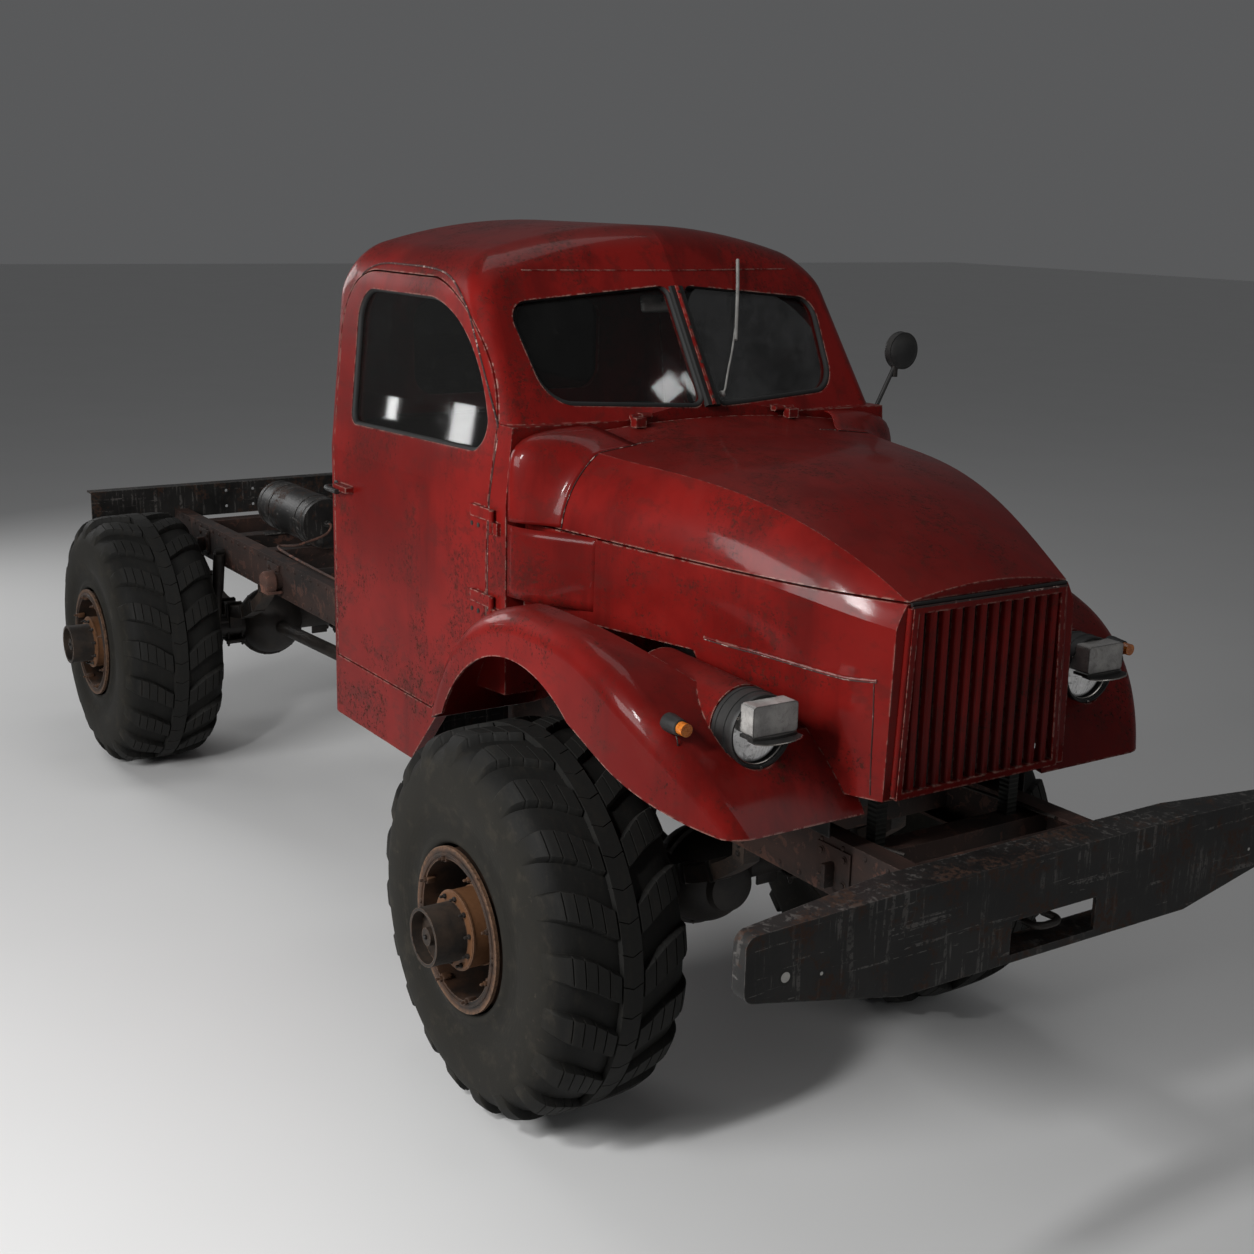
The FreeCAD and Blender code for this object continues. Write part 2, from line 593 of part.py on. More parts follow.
def make_front_axle():
    fork_end = "(track / 2 - kingpin_in) + fork_half"
    root = "(track / 2 - kingpin_in) - kingpin_radius - fork_root"
    tube = rod("FrontTube", "axle_radius", "2 * (%s)" % root, ("0", "0 - (%s)" % root, "tyre_radius"), "Y")
    housing = doc.addObject("Part::Sphere", "FrontHousing")
    housing.setExpression("Radius", bound("diff_radius"))
    housing.setExpression("Placement.Base.y", bound("0 - diff_offset"))
    housing.setExpression("Placement.Base.z", bound("tyre_radius"))
    ring = rod("FrontRing", "diff_radius + ring_lip", "ring_thick",
               ("0 - ring_thick / 2", "0 - diff_offset", "tyre_radius"), "X")
    pieces = [tube, housing, ring]
    for side in ("1", "-1"):
        for level in ("1", "-1"):
            inner = "tyre_radius + (knuckle_half + fork_gap) * %s" % level
            outer = "tyre_radius + (knuckle_half + fork_gap + fork_thick) * %s" % level
            low, high = (inner, outer) if level == "1" else (outer, inner)
            first, last = (root, fork_end) if side == "1" else ("0 - (%s)" % fork_end, "0 - (%s)" % root)
            pieces.append(box("Fork%d" % len(pieces), ("0 - fork_half", first, low),
                              ("fork_half", last, high)))
        back = ("(%s)" % root, "(%s) + fork_thick / 2" % root)
        if side == "-1":
            back = ("0 - (%s) - fork_thick / 2" % root, "0 - (%s)" % root)
        reach = "knuckle_half + fork_gap + fork_thick"
        pieces.append(box("ForkBack%d" % len(pieces), ("0 - fork_half", back[0], "tyre_radius - (%s)" % reach),
                          ("fork_half", back[1], "tyre_radius + (%s)" % reach)))
    node(fuse("FrontAxle", *pieces), "front_axle")


def make_knuckles():
    post = rod("KnucklePost", "kingpin_radius", "2 * knuckle_half",
               ("0", "(track / 2 - kingpin_in)", "tyre_radius - knuckle_half"), "Z")
    spindle = rod("Spindle", "spindle_radius", "track / 2 + disc_offset - fit - (track / 2 - kingpin_in)",
                  ("0", "(track / 2 - kingpin_in)", "tyre_radius"), "Y")
    drum_end = "track / 2 - disc_offset - swing_gap"
    drum = rod("BrakeDrum", "brake_radius", "brake_width",
               ("0", drum_end + " - brake_width", "tyre_radius"), "Y")
    both_sides(fuse("Knuckle", post, spindle, drum), "knuckle")


def make_rear_axle():
    end = "track / 2 + disc_offset - fit"
    tube_end = "track / 2 - disc_offset - swing_gap"
    tube = rod("RearTube", "axle_radius", "2 * (%s)" % tube_end,
               ("0 - wheelbase", "0 - (%s)" % tube_end, "tyre_radius"), "Y")
    stub = rod("RearStub", "spindle_radius", "2 * (%s)" % end,
               ("0 - wheelbase", "0 - (%s)" % end, "tyre_radius"), "Y")
    housing = doc.addObject("Part::Sphere", "RearHousing")
    housing.setExpression("Radius", bound("diff_radius"))
    housing.setExpression("Placement.Base.x", bound("0 - wheelbase"))
    housing.setExpression("Placement.Base.y", bound("0 - diff_offset"))
    housing.setExpression("Placement.Base.z", bound("tyre_radius"))
    drums = [rod("RearDrum%d" % index, "brake_radius", "brake_width",
                 ("0 - wheelbase", place, "tyre_radius"), "Y")
             for index, place in enumerate((tube_end + " - brake_width", "0 - (%s)" % tube_end))]
    ring = rod("RearRing", "diff_radius + ring_lip", "ring_thick",
               ("0 - wheelbase - ring_thick / 2", "0 - diff_offset", "tyre_radius"), "X")
    node(fuse("RearAxle", tube, stub, housing, ring, *drums), "rear_axle")


# Springs: bent packs that rest on the axle tube and reach the rails through hangers.

def spring_outline(x):
    top = "rail_top - rail_depth"
    seat = "tyre_radius + axle_radius"
    rise = "%s + spring_rise" % seat
    return ((x + " - spring_half", rise, "spring_radius", "left"),
            (x + " + spring_half", rise),
            (x + " + spring_half", rise + " + spring_pack", "spring_radius", "right"),
            (x + " - spring_half", rise + " + spring_pack")), rise, top


def make_springs():
    packs = []
    for label, x in (("front", "0"), ("rear", "0 - wheelbase")):
        outline, rise, top = spring_outline(x)
        inner, outer = "spring_y - spring_width / 2", "spring_y + spring_width / 2"
        leaf = pad("Leaf" + label, "XZ", outline, inner, outer)
        seat = box("Seat" + label, (x + " - saddle_half", inner, "tyre_radius"),
                   (x + " + saddle_half", outer, "tyre_radius + axle_radius + spring_pack"))
        hangers = [box("Hanger%s%d" % (label, index), (x + place, inner, rise + " + sink"),
                       (x + place + " + hanger_width", outer, top))
                   for index, place in enumerate((" - spring_half", " + spring_half - hanger_width"))]
        tube = rod("Clear" + label, "axle_radius", "2 * track", (x, "0 - track", "tyre_radius"), "Y")
        whole = cut("Spring" + label, fuse("SpringSet" + label, leaf, seat, *hangers), tube)
        packs += [whole, mirror("SpringRight" + label, whole)]
    node(group("Springs", *packs), "leaf_springs")


# Cab: side outline and front outline met as one hull, its windscreen in two leaning planes.

def cab_hull(name, inset):
    """The cab's closed hull, moved in by an inset on every face."""
    floor = "cab_bottom - floor_share * (%s)" % inset
    side = (("cab_rear + (%s)" % inset, floor), ("sill_end", floor),
            ("toe_x", "toe_z - toe_share * (%s)" % inset),
            ("cab_front - (%s)" % inset, "cowl_bottom - toe_share * (%s)" % inset),
            ("cab_front - (%s)" % inset, "cab_roof + over"), ("cab_rear + (%s)" % inset, "cab_roof + over"))
    long = pad(name + "Long", "XZ", side, "0 - cab_half - over", "cab_half + over")
    half = "cab_half - (%s)" % inset
    roof_half = "cab_half_roof - (%s)" % inset
    eave = "cab_eave - (%s)" % inset
    front = (("0 - (%s)" % half, "cab_bottom - far_over"), (half, "cab_bottom - far_over"),
             (half, "belt_line"),
             (roof_half, eave, "crown_radius", "left"), ("0 - (%s)" % roof_half, eave),
             ("0 - (%s)" % half, "belt_line"))
    wide = pad(name + "Wide", "YZ", front, "cab_rear - over", "cab_front + over")
    hull = common(name + "Hull", long, wide)
    wedges = [screen_wedge(name + "Wedge%d" % index, inset, side)
              for index, side in enumerate((1, -1))]
    return cut(name + "Raked", hull, *wedges)


def screen_wedge(name, inset, side):
    """What lies in front of one leaning half of the windscreen, above the cowl."""
    foot = "screen_foot - (%s) * sqrt(1 + screen_lean ^ 2)" % inset
    low = "cowl_top - (%s)" % inset
    high = "cab_roof + 2 * over"
    corners = ((foot + " + screen_lean * (screen_foot_z - (%s))" % low, low), ("cab_front + far_over", low),
               ("cab_front + far_over", high), (foot + " - screen_lean * ((%s) - screen_foot_z)" % high, high))
    sketch = free_sketch(name + "Side", "XZ", corners, "0")
    wedge = doc.addObject("Part::Extrusion", name)
    wedge.Base = sketch
    wedge.DirMode = "Custom"
    wedge.Dir = Vector(-value("screen_vee"), side, 0)
    wedge.LengthFwd = value("cab_half + far_over")
    wedge.Solid = True
    doc.recompute()
    return wedge


def round_cab(name, hull, less):
    """Round the hull's roof, back and pillars; an inner hull gets smaller radii."""
    roof_level = value("cab_eave - roof_band")
    screen_front = value("cab_front - screen_reach")
    far, near = value("far_over"), value("roof_round")

    def is_back(edge):
        return middle(edge).x < value("cab_rear + back_round") and edge.BoundBox.ZLength > far

    def is_roof(edge):
        spot = middle(edge)
        return spot.z > roof_level and edge.BoundBox.ZLength < near and abs(spot.y) < value("cab_half")

    def is_pillar(edge):
        spot = middle(edge)
        return value("cowl_top") < spot.z < roof_level and spot.x > screen_front and abs(spot.y) > far
    return soften(name, hull, ("back_round - (%s)" % less, is_back), ("roof_round - (%s)" % less, is_roof),
                  ("pillar_round - (%s)" % less, is_pillar))


def door_corners(grow):
    """The door's outline from the side, moved out by a gap."""
    return (("door_rear - (%s)" % grow, "door_low - (%s)" % grow),
            ("door_cut_x", "door_low - (%s)" % grow),
            ("door_toe_x + (%s)" % grow, "door_toe_z - (%s)" % grow),
            ("door_front + (%s)" % grow, "door_front_low - (%s)" % grow),
            ("door_front + (%s)" % grow, "door_waist"),
            ("door_nose + (%s)" % grow, "door_nose_z", "door_brow + (%s)" % grow, "left"),
            ("door_top_front", "door_top + (%s)" % grow), ("door_top_rear", "door_top + (%s)" % grow,
                                                            "door_corner + (%s)" % grow, "left"),
            ("door_rear - (%s)" % grow, "door_back_top"))


PANE = (("pane_rear + pane_corner", "pane_low"), ("pane_front_low", "pane_front_z", "pane_chin", "left"),
        ("pane_nose", "pane_nose_z", "pane_brow", "left"), ("pane_top_front", "pane_top"),
        ("pane_top_rear", "pane_top", "pane_head", "left"), ("pane_rear", "pane_back_top"),
        ("pane_rear", "pane_low + pane_corner", "pane_corner", "left"))


def screen_corners(side):
    bar, low_out, high_out = "screen_bar", "screen_out_low", "screen_out_high"
    corners = ((bar, "screen_low"), (low_out, "screen_out_foot"), (high_out, "screen_out_z"),
               (bar, "screen_high"))
    if side > 0:
        return corners
    return [("0 - (%s)" % across, up) for across, up in corners[::-1]]


def is_outboard(edge):
    return abs(middle(edge).y) > value("screen_out_low") / 2


def is_low(edge):
    return middle(edge).z < value("screen_low + rear_reach / 2")


def door_hinges():
    """Barrels on the pillar and, just above them, barrels with straps on the door."""
    fixed, moving = [], []
    for index, low in enumerate(("hinge_low", "hinge_high")):
        top = low + " + hinge_length"
        name = "DoorHinge%d" % index
        fixed.append(rod(name + "Fixed", "hinge_radius", "hinge_length", ("hinge_x", "hinge_y", low), "Z"))
        fixed.append(box(name + "Foot", ("hinge_x", "cab_half - sink", low),
                         ("hinge_x + hinge_foot", "hinge_y", top)))
        moving.append(rod(name + "Moving", "hinge_radius", "hinge_length",
                          ("hinge_x", "hinge_y", top + " + fit"), "Z"))
        moving.append(box(name + "Strap", ("hinge_x - hinge_strap", "hinge_y - hinge_radius", top + " + fit"),
                          ("hinge_x", "hinge_y", top + " + fit + hinge_length")))
        moving.append(box(name + "Pad", ("hinge_x - hinge_strap", "cab_half - sink", top + " + fit"),
                          ("door_front - sink", "hinge_y", top + " + fit + hinge_length")))
    return fixed, moving


def make_cab():
    outer = round_cab("CabOuter", cab_hull("CabOut", "0"), "0")
    inner = round_cab("CabInner", cab_hull("CabIn", "cab_wall"), "cab_wall")
    glass_out = round_cab("GlassOuter", cab_hull("PaneOut", "glass_inset"), "glass_inset")
    glass_in = round_cab("GlassInner", cab_hull("PaneIn", "glass_inset + glass_thick"),
                         "glass_inset + glass_thick")
    wall = cut("CabWall", outer, inner)
    layer = cut("GlassLayer", glass_out, glass_in)
    door_solid = pad("DoorPrism", "XZ", door_corners("0"), "cab_half_roof - door_lap",
                     "cab_half + over")
    door_hole = pad("DoorHole", "XZ", door_corners("swing_gap"), "cab_half_roof - door_lap - swing_gap",
                    "cab_half + 2 * over")
    pane = pad("PanePrism", "XZ", PANE, "cab_half_roof - roof_band", "cab_half + 2 * over")
    screens = [soften("ScreenSoft%d" % index,
                      pad("Screen%d" % index, "YZ", screen_corners(side), "cab_rear + screen_start", "0"),
                      ("screen_round_low", lambda edge: runs(edge, "x") and is_outboard(edge) and is_low(edge)),
                      ("screen_round", lambda edge: runs(edge, "x") and is_outboard(edge) and not is_low(edge)),
                      ("screen_round_in", lambda edge: runs(edge, "x") and not is_outboard(edge)))
               for index, side in enumerate((1, -1))]
    rear = (("0 - rear_pane_half", "rear_pane_low"), ("rear_pane_half", "rear_pane_low"),
            ("rear_pane_half", "rear_pane_high"), ("0 - rear_pane_half", "rear_pane_high"))
    rear_pane = soften("RearPaneSoft", pad("RearPane", "YZ", rear, "cab_rear - over", "cab_rear + rear_reach"),
                       ("rear_pane_round", lambda edge: runs(edge, "x")))
    door = cut("DoorSkin", common("DoorWall", wall, door_solid), pane)
    handle = box("Handle", ("handle_x", "cab_half", "handle_z"),
                 ("handle_x + handle_length", "cab_half + handle_out", "handle_z + handle_height"))
    cab_side, door_side = door_hinges()
    both_sides(fuse("Door", door, handle, *door_side), "door")
    both_sides(common("DoorGlass", layer, pane), "door_glass")
    node(group("ScreenGlass", *[common("ScreenPane%d" % index, layer, screen)
                                for index, screen in enumerate(screens)]), "windscreen_glass")
    node(common("RearGlass", layer, rear_pane), "rear_glass")
    under = box("UnderFloor", ("cab_rear - over", "0 - cab_half + cab_wall", "cab_bottom - far_over"),
                ("cab_front + over", "cab_half - cab_wall", "floor_top - floor_thick"))
    floor = box("Floor",
                ("cab_rear + floor_inset", "cab_wall + swing_gap - cab_half", "floor_top - floor_thick"),
                ("toe_x - floor_stop", "cab_half - cab_wall - swing_gap", "floor_top"))
    shell = cut("CabOpen", wall, door_hole, mirror("DoorHoleRight", door_hole), *screens, rear_pane, under)
    seat_box = box("SeatBox", ("cab_rear + cab_wall - sink", "0 - seat_half", "floor_top - sink"),
                   ("seat_front - floor_stop", "seat_half", "seat_low - fit"))
    fixed = cab_side + hood_hinges(False)
    fixed += [mirror(item.Name + "Right", item) for item in fixed]
    node(fuse("CabShell", shell, floor, seat_box, *fixed), "cab_shell")
    return outer, inner


# Bonnet: one loft from cowl to radiator, parted into a lid and the side panels.

SECTIONS = (("cowl", "cab_front"), ("back", "back_x"), ("mid", "mid_x"), ("brow", "brow_x"),
            ("nose", "radiator_front"))


def bonnet_hull(name, inset):
    sections = []
    for part, place in SECTIONS:
        items = ("low", "seam", "ridge", "ridge_z")
        low, seam, ridge, top = ["%s_%s - (%s)" % (part, item, inset) for item in items]
        base = "bonnet_low - (%s)" % inset
        corners = (("0 - (%s)" % low, base), (low, base), (seam, part + "_seam_z", "side_bow", "left"),
                   (ridge, top, part + "_crown", "left"), ("0 - (%s)" % ridge, top, "side_bow", "left"),
                   ("0 - (%s)" % seam, part + "_seam_z"))
        if part in ("cowl", "nose"):
            place = "%s - (%s)" % (place, inset)
        sections.append(free_sketch(name + part.title(), "YZ", corners, place))
    loft = doc.addObject("Part::Loft", name)
    loft.Sections = sections
    loft.Solid = True
    loft.Ruled = False
    doc.recompute()
    return loft


def make_bonnet():
    outer = bonnet_hull("BonnetOut", "0")
    skin = cut("BonnetSkin", outer, bonnet_hull("BonnetIn", "hood_thick"))
    above = (("hood_rear", "seam_rear"), ("radiator_front + over", "seam_front"),
             ("radiator_front + over", "cab_roof"), ("hood_rear", "cab_roof"))
    below = (("cab_front", "cab_bottom"), ("radiator_front + over", "cab_bottom"),
             ("radiator_front + over", "seam_front - swing_gap"), ("cab_front", "seam_rear - swing_gap"))
    lid = common("HoodSkin", skin, pad("Above", "XZ", above, "0 - cab_half", "cab_half"))
    moving = hood_hinges(True)
    moving += [mirror(item.Name + "Right", item) for item in moving]
    node(fuse("Hood", lid, *moving), "hood")
    notch = (("cab_front - over", "cab_bottom"), ("side_cut_x + side_step", "cab_bottom"),
             ("side_cut_x + side_step", "side_low - side_drop"), ("side_cut_x", "side_low"),
             ("cab_front - over", "side_low"))
    sides = common("SideSkin", skin, pad("Below", "XZ", below, "0 - cab_half", "cab_half"))
    opening = pad("GrilleHole", "YZ", grille_corners("0"), "radiator_front - over", "radiator_front + over")
    shell = cut("SideOpen", sides, pad("SideNotch", "XZ", notch, "0 - cab_half", "cab_half"), opening)
    node(shell, "bonnet_sides")
    return outer


def hood_hinges(moving):
    """One left barrel with its foot, on the hood or beside it on the cowl."""
    name = "HoodHinge" + ("Moving" if moving else "Fixed")
    low = "lid_hinge_y + fit" if moving else "lid_hinge_y - hinge_length"
    high = low + " + hinge_length"
    barrel = rod(name, "hinge_radius", "hinge_length", ("lid_hinge_x", low, "lid_hinge_z"), "Y")
    if moving:
        foot = box(name + "Foot", ("lid_hinge_x", low, "lid_hinge_z - lid_hinge_drop"),
                   ("lid_hinge_x + hinge_foot", high, "lid_hinge_z"))
    else:
        foot = box(name + "Foot", ("lid_hinge_x - hinge_foot", low, "lid_hinge_z - hinge_radius"),
                   ("lid_hinge_x", high, "lid_hinge_z + hinge_radius"))
    return [barrel, foot]


def grille_corners(inset):
    return (("0 - grille_half_low + (%s)" % inset, "grille_low + (%s)" % inset),
            ("grille_half_low - (%s)" % inset, "grille_low + (%s)" % inset),
            ("grille_half_top - (%s)" % inset, "grille_top - (%s)" % inset),
            ("0 - grille_half_top + (%s)" % inset, "grille_top - (%s)" % inset))


def is_rib_front(edge):
    return runs(edge, "z") and middle(edge).x > value("radiator_front")


def make_grille():
    back = "radiator_front - grille_depth / 2"
    front = "radiator_front + grille_depth / 2"
    body = pad("Grille", "YZ", grille_corners("0"), back, front)
    add_pocket(body, "YZ", grille_corners("grille_frame"), "radiator_front - grille_depth", front + " + fit")
    pitch = "(2 * grille_half_top - grille_frame) / rib_count"
    ribs = []
    for index in range(int(value("rib_count"))):
        centre = "(%s) * (%d + 0.5) - grille_half_top + grille_frame / 2" % (pitch, index)
        rib = box("Rib%d" % index, (back, centre + " - rib_width / 2", "grille_low + grille_frame / 2"),
                  (front + " - rib_back", centre + " + rib_width / 2", "grille_top - grille_frame / 2"))
        doc.recompute()
        ribs.append(soften("RibSoft%d" % index, rib, ("rib_round", is_rib_front)))
    node(fuse("GrilleSet", body, *ribs), "grille")


# Fenders: a pressed arch over each front wheel, with the lamp's nacelle in its nose.

def fender_hull(name, inset, open_below):
    """The fender's closed outer form moved in by an inset, or the room under it."""
    crest = "crest_radius - (%s)" % inset
    top = "crest_z + %s" % crest
    rear = "crest_x - (%s)" % crest
    bow = "bow_radius - (%s)" % inset
    bow_z = "crest_z + crest_radius - bow_radius"
    if open_below:
        low = "crest_z - fender_room"
        ring = ((rear, low), ("bow_x + " + bow, low), ("bow_x + " + bow, bow_z, bow, "left"), ("bow_x", top),
                ("crest_x", top, crest, "left"), (rear, "crest_z"))
    else:
        lip_z = "crest_z + sqrt(arch_radius ^ 2 - (lip_x - arch_x) ^ 2)"
        tail_x = "crest_x - sqrt((%s) ^ 2 - (tail_z - crest_z) ^ 2)" % crest
        heel_x = "arch_x - sqrt(arch_radius ^ 2 - (heel_z - crest_z) ^ 2)"
        tip_x = "bow_x + sqrt((%s) ^ 2 - (nose_low_z - (%s)) ^ 2)" % (bow, bow_z)
        ring = ((tail_x, "tail_z"), (heel_x, "heel_z", "arch_radius", "right"), ("lip_x", lip_z),
                ("lip_front_x", "nose_low_z"), (tip_x, "nose_low_z", bow, "left"), ("bow_x", top),
                ("crest_x", top, crest, "left"))
    side = pad(name + "Ring", "XZ", ring, "apron_front - over", "fender_out + over")
    outer_y = "fender_out - (%s)" % inset
    bend = "taper_radius - (%s)" % inset
    end_y = "%s - (%s) + sqrt((%s) ^ 2 - (taper_end - taper_x) ^ 2)" % (outer_y, bend, bend)
    plan = (("crest_x - crest_radius - over", "fender_in + (%s)" % inset),
            ("apron_x", "fender_in + (%s)" % inset),
            ("taper_end - apron_run", "apron_in + (%s)" % inset), ("taper_end", "apron_front + (%s)" % inset),
            ("taper_end", end_y, bend, "left"), ("taper_x", outer_y),
            ("crest_x - crest_radius - over", outer_y))
    level = pad(name + "Plan", "XY", plan, "crest_z - crest_radius", "crest_z + crest_radius + over")
    valley = (("fender_ridge", top + " + fit"), ("valley_y", "fender_valley - (%s)" % inset),
              ("apron_front - over", "fender_valley - (%s)" % inset),
              ("apron_front - over", top + " + far_over"),
              ("fender_ridge", top + " + far_over"))
    dip = pad(name + "Dip", "YZ", valley, "crest_x - crest_radius - over", "taper_end + over")
    limit = value("fender_in + over")
    arch_top = value("crest_z + arch_radius + fit")

    def is_shoulder(edge):
        outside = edge.BoundBox.YMin > limit and not runs(edge, "y") and not runs(edge, "z")
        return outside and edge.BoundBox.ZMax > arch_top
    rounded = soften(name + "Soft", common(name + "Block", side, level),
                     ("fender_round - (%s)" % inset, is_shoulder))
    return cut(name + "Formed", rounded, dip)


def nacelle_cone(name, inset):
    """The lamp's round housing, which widens to the rear, moved in by an inset."""
    cone = doc.addObject("Part::Cone", name)
    cone.Placement = FreeCAD.Placement(Vector(), FreeCAD.Rotation(Vector(0, 1, 0), 90))
    cone.setExpression("Radius1", bound("nacelle_root - (%s)" % inset))
    cone.setExpression("Radius2", bound("nacelle_radius - (%s)" % inset))
    cone.setExpression("Height", bound("lamp_face - lamp_depth - nacelle_back - (%s)" % inset))
    for axis, formula in zip("xyz", ("nacelle_back", "lamp_y", "lamp_z")):
        cone.setExpression("Placement.Base." + axis, bound(formula))
    return cone


def make_fenders(cab, bonnet):
    outer = fender_hull("FenderOut", "0", False)
    room = fender_hull("FenderIn", "fender_sheet", True)
    nacelle = nacelle_cone("Nacelle", "0")
    throat = nacelle_cone("NacelleRoom", "fender_sheet")
    shell = cut("FenderOpen", outer, room, nacelle)
    shell = fuse("FenderLamp", shell, cut("NacelleTube", nacelle, throat))
    recess = rod("LampRecess", "lamp_radius + fit", "2 * lamp_depth",
                 ("lamp_face - lamp_depth - fit", "lamp_y", "lamp_z"), "X")
    both_sides(cut("FenderSeated", shell, cab, bonnet, recess), "fender")
    return outer


# Lamps: a deep bucket with a domed lens, a frosted half cover with a visor, and a turn signal.

def make_lamps(fender):
    floor = "lamp_face - lamp_recess"
    shell = rod("BucketShell", "lamp_radius", "lamp_depth",
                ("lamp_face - lamp_depth", "lamp_y", "lamp_z"), "X")
    room = rod("BucketRoom", "lamp_radius - lamp_rim", "2 * lamp_recess", (floor, "lamp_y", "lamp_z"), "X")
    bucket = cut("Bucket", shell, room)
    node(group("Buckets", bucket, mirror("BucketRight", bucket)), "headlamps")
    lens_bow = "(lens_radius ^ 2 + lens_rise ^ 2) / (2 * lens_rise)"
    profile = ((floor, "0"), (floor + " + lens_rise", "0", lens_bow, "left"), (floor, "lens_radius"))
    lens = revolved("Lens", "XZ", profile, "H_Axis")
    lens.setExpression("Placement.Base.y", bound("lamp_y"))
    lens.setExpression("Placement.Base.z", bound("lamp_z"))
    node(group("Lenses", lens, mirror("LensRight", lens)), "headlamp_lenses")
    cover = box("Cover", (floor, "lamp_y - shade_half", "lamp_z + shade_low"),
                ("lamp_face + shade_out", "lamp_y + shade_half", "lamp_z + shade_high"))
    room = box("CoverRoom", (floor + " - fit", "lamp_y - shade_half + shade_wall", "lamp_z"),
               ("lamp_face + shade_out - shade_wall", "lamp_y + shade_half - shade_wall",
                "lamp_z + shade_high - shade_wall"))
    doc.recompute()
    soft = soften("CoverSoft", cover, ("shade_round", is_cover_front))
    visor = pad("Visor", "XY", (("lamp_face", "lamp_y - shade_half"),
                                ("lamp_face + shade_out", "lamp_y - shade_half", "visor_bow", "left"),
                                ("lamp_face + shade_out", "lamp_y + shade_half"),
                                ("lamp_face", "lamp_y + shade_half")),
                "lamp_z + shade_low - visor_thick", "lamp_z + shade_low")
    start = (floor, "lamp_y", "lamp_z")
    ring = cut("ShadeSeat", rod("SeatOuter", "2 * lamp_radius", "lamp_recess", start, "X"),
               rod("SeatInner", "lamp_radius - lamp_rim - fit", "lamp_recess", start, "X"))
    shade = cut("Shade", fuse("ShadeSet", cut("ShadeBox", soft, room), visor), lens, ring)
    node(group("Shades", shade, mirror("ShadeRight", shade)), "headlamp_covers")
    stub = rod("Signal", "signal_radius", "signal_length + over",
               ("signal_x - over", "signal_y", "signal_z"), "X")
    lamp = cut("SignalSeated", stub, fender)
    node(group("Signals", lamp, mirror("SignalRight", lamp)), "turn_signals")


def is_cover_front(edge):
    return middle(edge).x > value("lamp_face") and runs(edge, "x")


# Heavy pieces under the bonnet and along the frame.

def slanted_bar(name, radius, start, end):
    """A round bar between two places that share one Y."""
    bar = doc.addObject("Part::Cylinder", name)
    run = [value(last) - value(first) for first, last in zip(start, end)]
    bar.Placement = FreeCAD.Placement(Vector(), FreeCAD.Rotation(Vector(0, 0, 1), Vector(*run)))
    bar.setExpression("Radius", bound(radius))
    squares = ["((%s) - (%s)) ^ 2" % (last, first) for first, last in zip(start, end)]
    bar.setExpression("Height", bound("sqrt(%s)" % " + ".join(squares)))
    for axis, formula in zip("xyz", start):
        bar.setExpression("Placement.Base." + axis, bound(formula))
    return bar


def make_drive():
    seat = "rail_top - rail_depth / 2 + member_height / 2"
    node(box("Engine", ("engine_rear", "0 - engine_half", seat),
             ("engine_front", "engine_half", "engine_top")),
         "engine_block")
    case = box("Gearbox", ("gearbox_rear", "0 - gearbox_half", "gearbox_low"),
               ("engine_rear", "gearbox_half", "gearbox_top"))
    transfer = box("Transfer",
                   ("gearbox_rear + transfer_start", "0 - diff_offset - transfer_half", "transfer_low"),
                   ("gearbox_rear + transfer_end", "transfer_half - diff_offset", "gearbox_low"))
    node(fuse("GearboxSet", case, transfer), "gearbox")
    shaft_z = "transfer_low + shaft_rise"
    line = "0 - diff_offset"
    front = slanted_bar("FrontShaft", "shaft_radius", ("gearbox_rear + transfer_end", line, shaft_z),
                        ("shaft_seat - diff_radius", line, "tyre_radius"))
    rear = slanted_bar("RearShaft", "shaft_radius", ("gearbox_rear + transfer_start", line, shaft_z),
                       ("diff_radius - shaft_seat - wheelbase", line, "tyre_radius"))
    ends = []
    for x in ("0", "0 - wheelbase"):
        ball = doc.addObject("Part::Sphere", "ShaftSeat%d" % len(ends))
        ball.setExpression("Radius", bound("diff_radius + fit"))
        for axis, formula in zip("xyz", (x, line, "tyre_radius")):
            ball.setExpression("Placement.Base." + axis, bound(formula))
        ends.append(ball)
    ends.append(box("ShaftCase", ("gearbox_rear + transfer_start - fit", "0 - diff_offset - transfer_half",
                                   "transfer_low"),
                    ("gearbox_rear + transfer_end + fit", "transfer_half - diff_offset", "gearbox_low")))
    node(cut("ShaftsSeated", group("Shafts", front, rear), *ends), "drive_shafts")
    core = box("Radiator", ("radiator_back", "0 - radiator_half", "radiator_low"),
               ("radiator_back + radiator_depth", "radiator_half", "radiator_top"))
    legs = [box("RadiatorLeg%d" % index, ("radiator_back", low, seat),
                ("radiator_back + radiator_leg", high, "radiator_low"))
            for index, (low, high) in enumerate((("radiator_half - radiator_leg", "radiator_half"),
                                                 ("0 - radiator_half", "radiator_leg - radiator_half")))]
    node(fuse("RadiatorSet", core, *legs), "radiator")
    tank = rod("Tank", "tank_radius", "tank_length",
               ("0 - wheelbase - tank_back", "0", seat + " + tank_radius + fit"),
               "X")
    node(tank, "air_tank")


# Cab fittings seen through the glass.

def is_dash_edge(edge):
    return runs(edge, "y") and middle(edge).x < value("dash_back + sink")


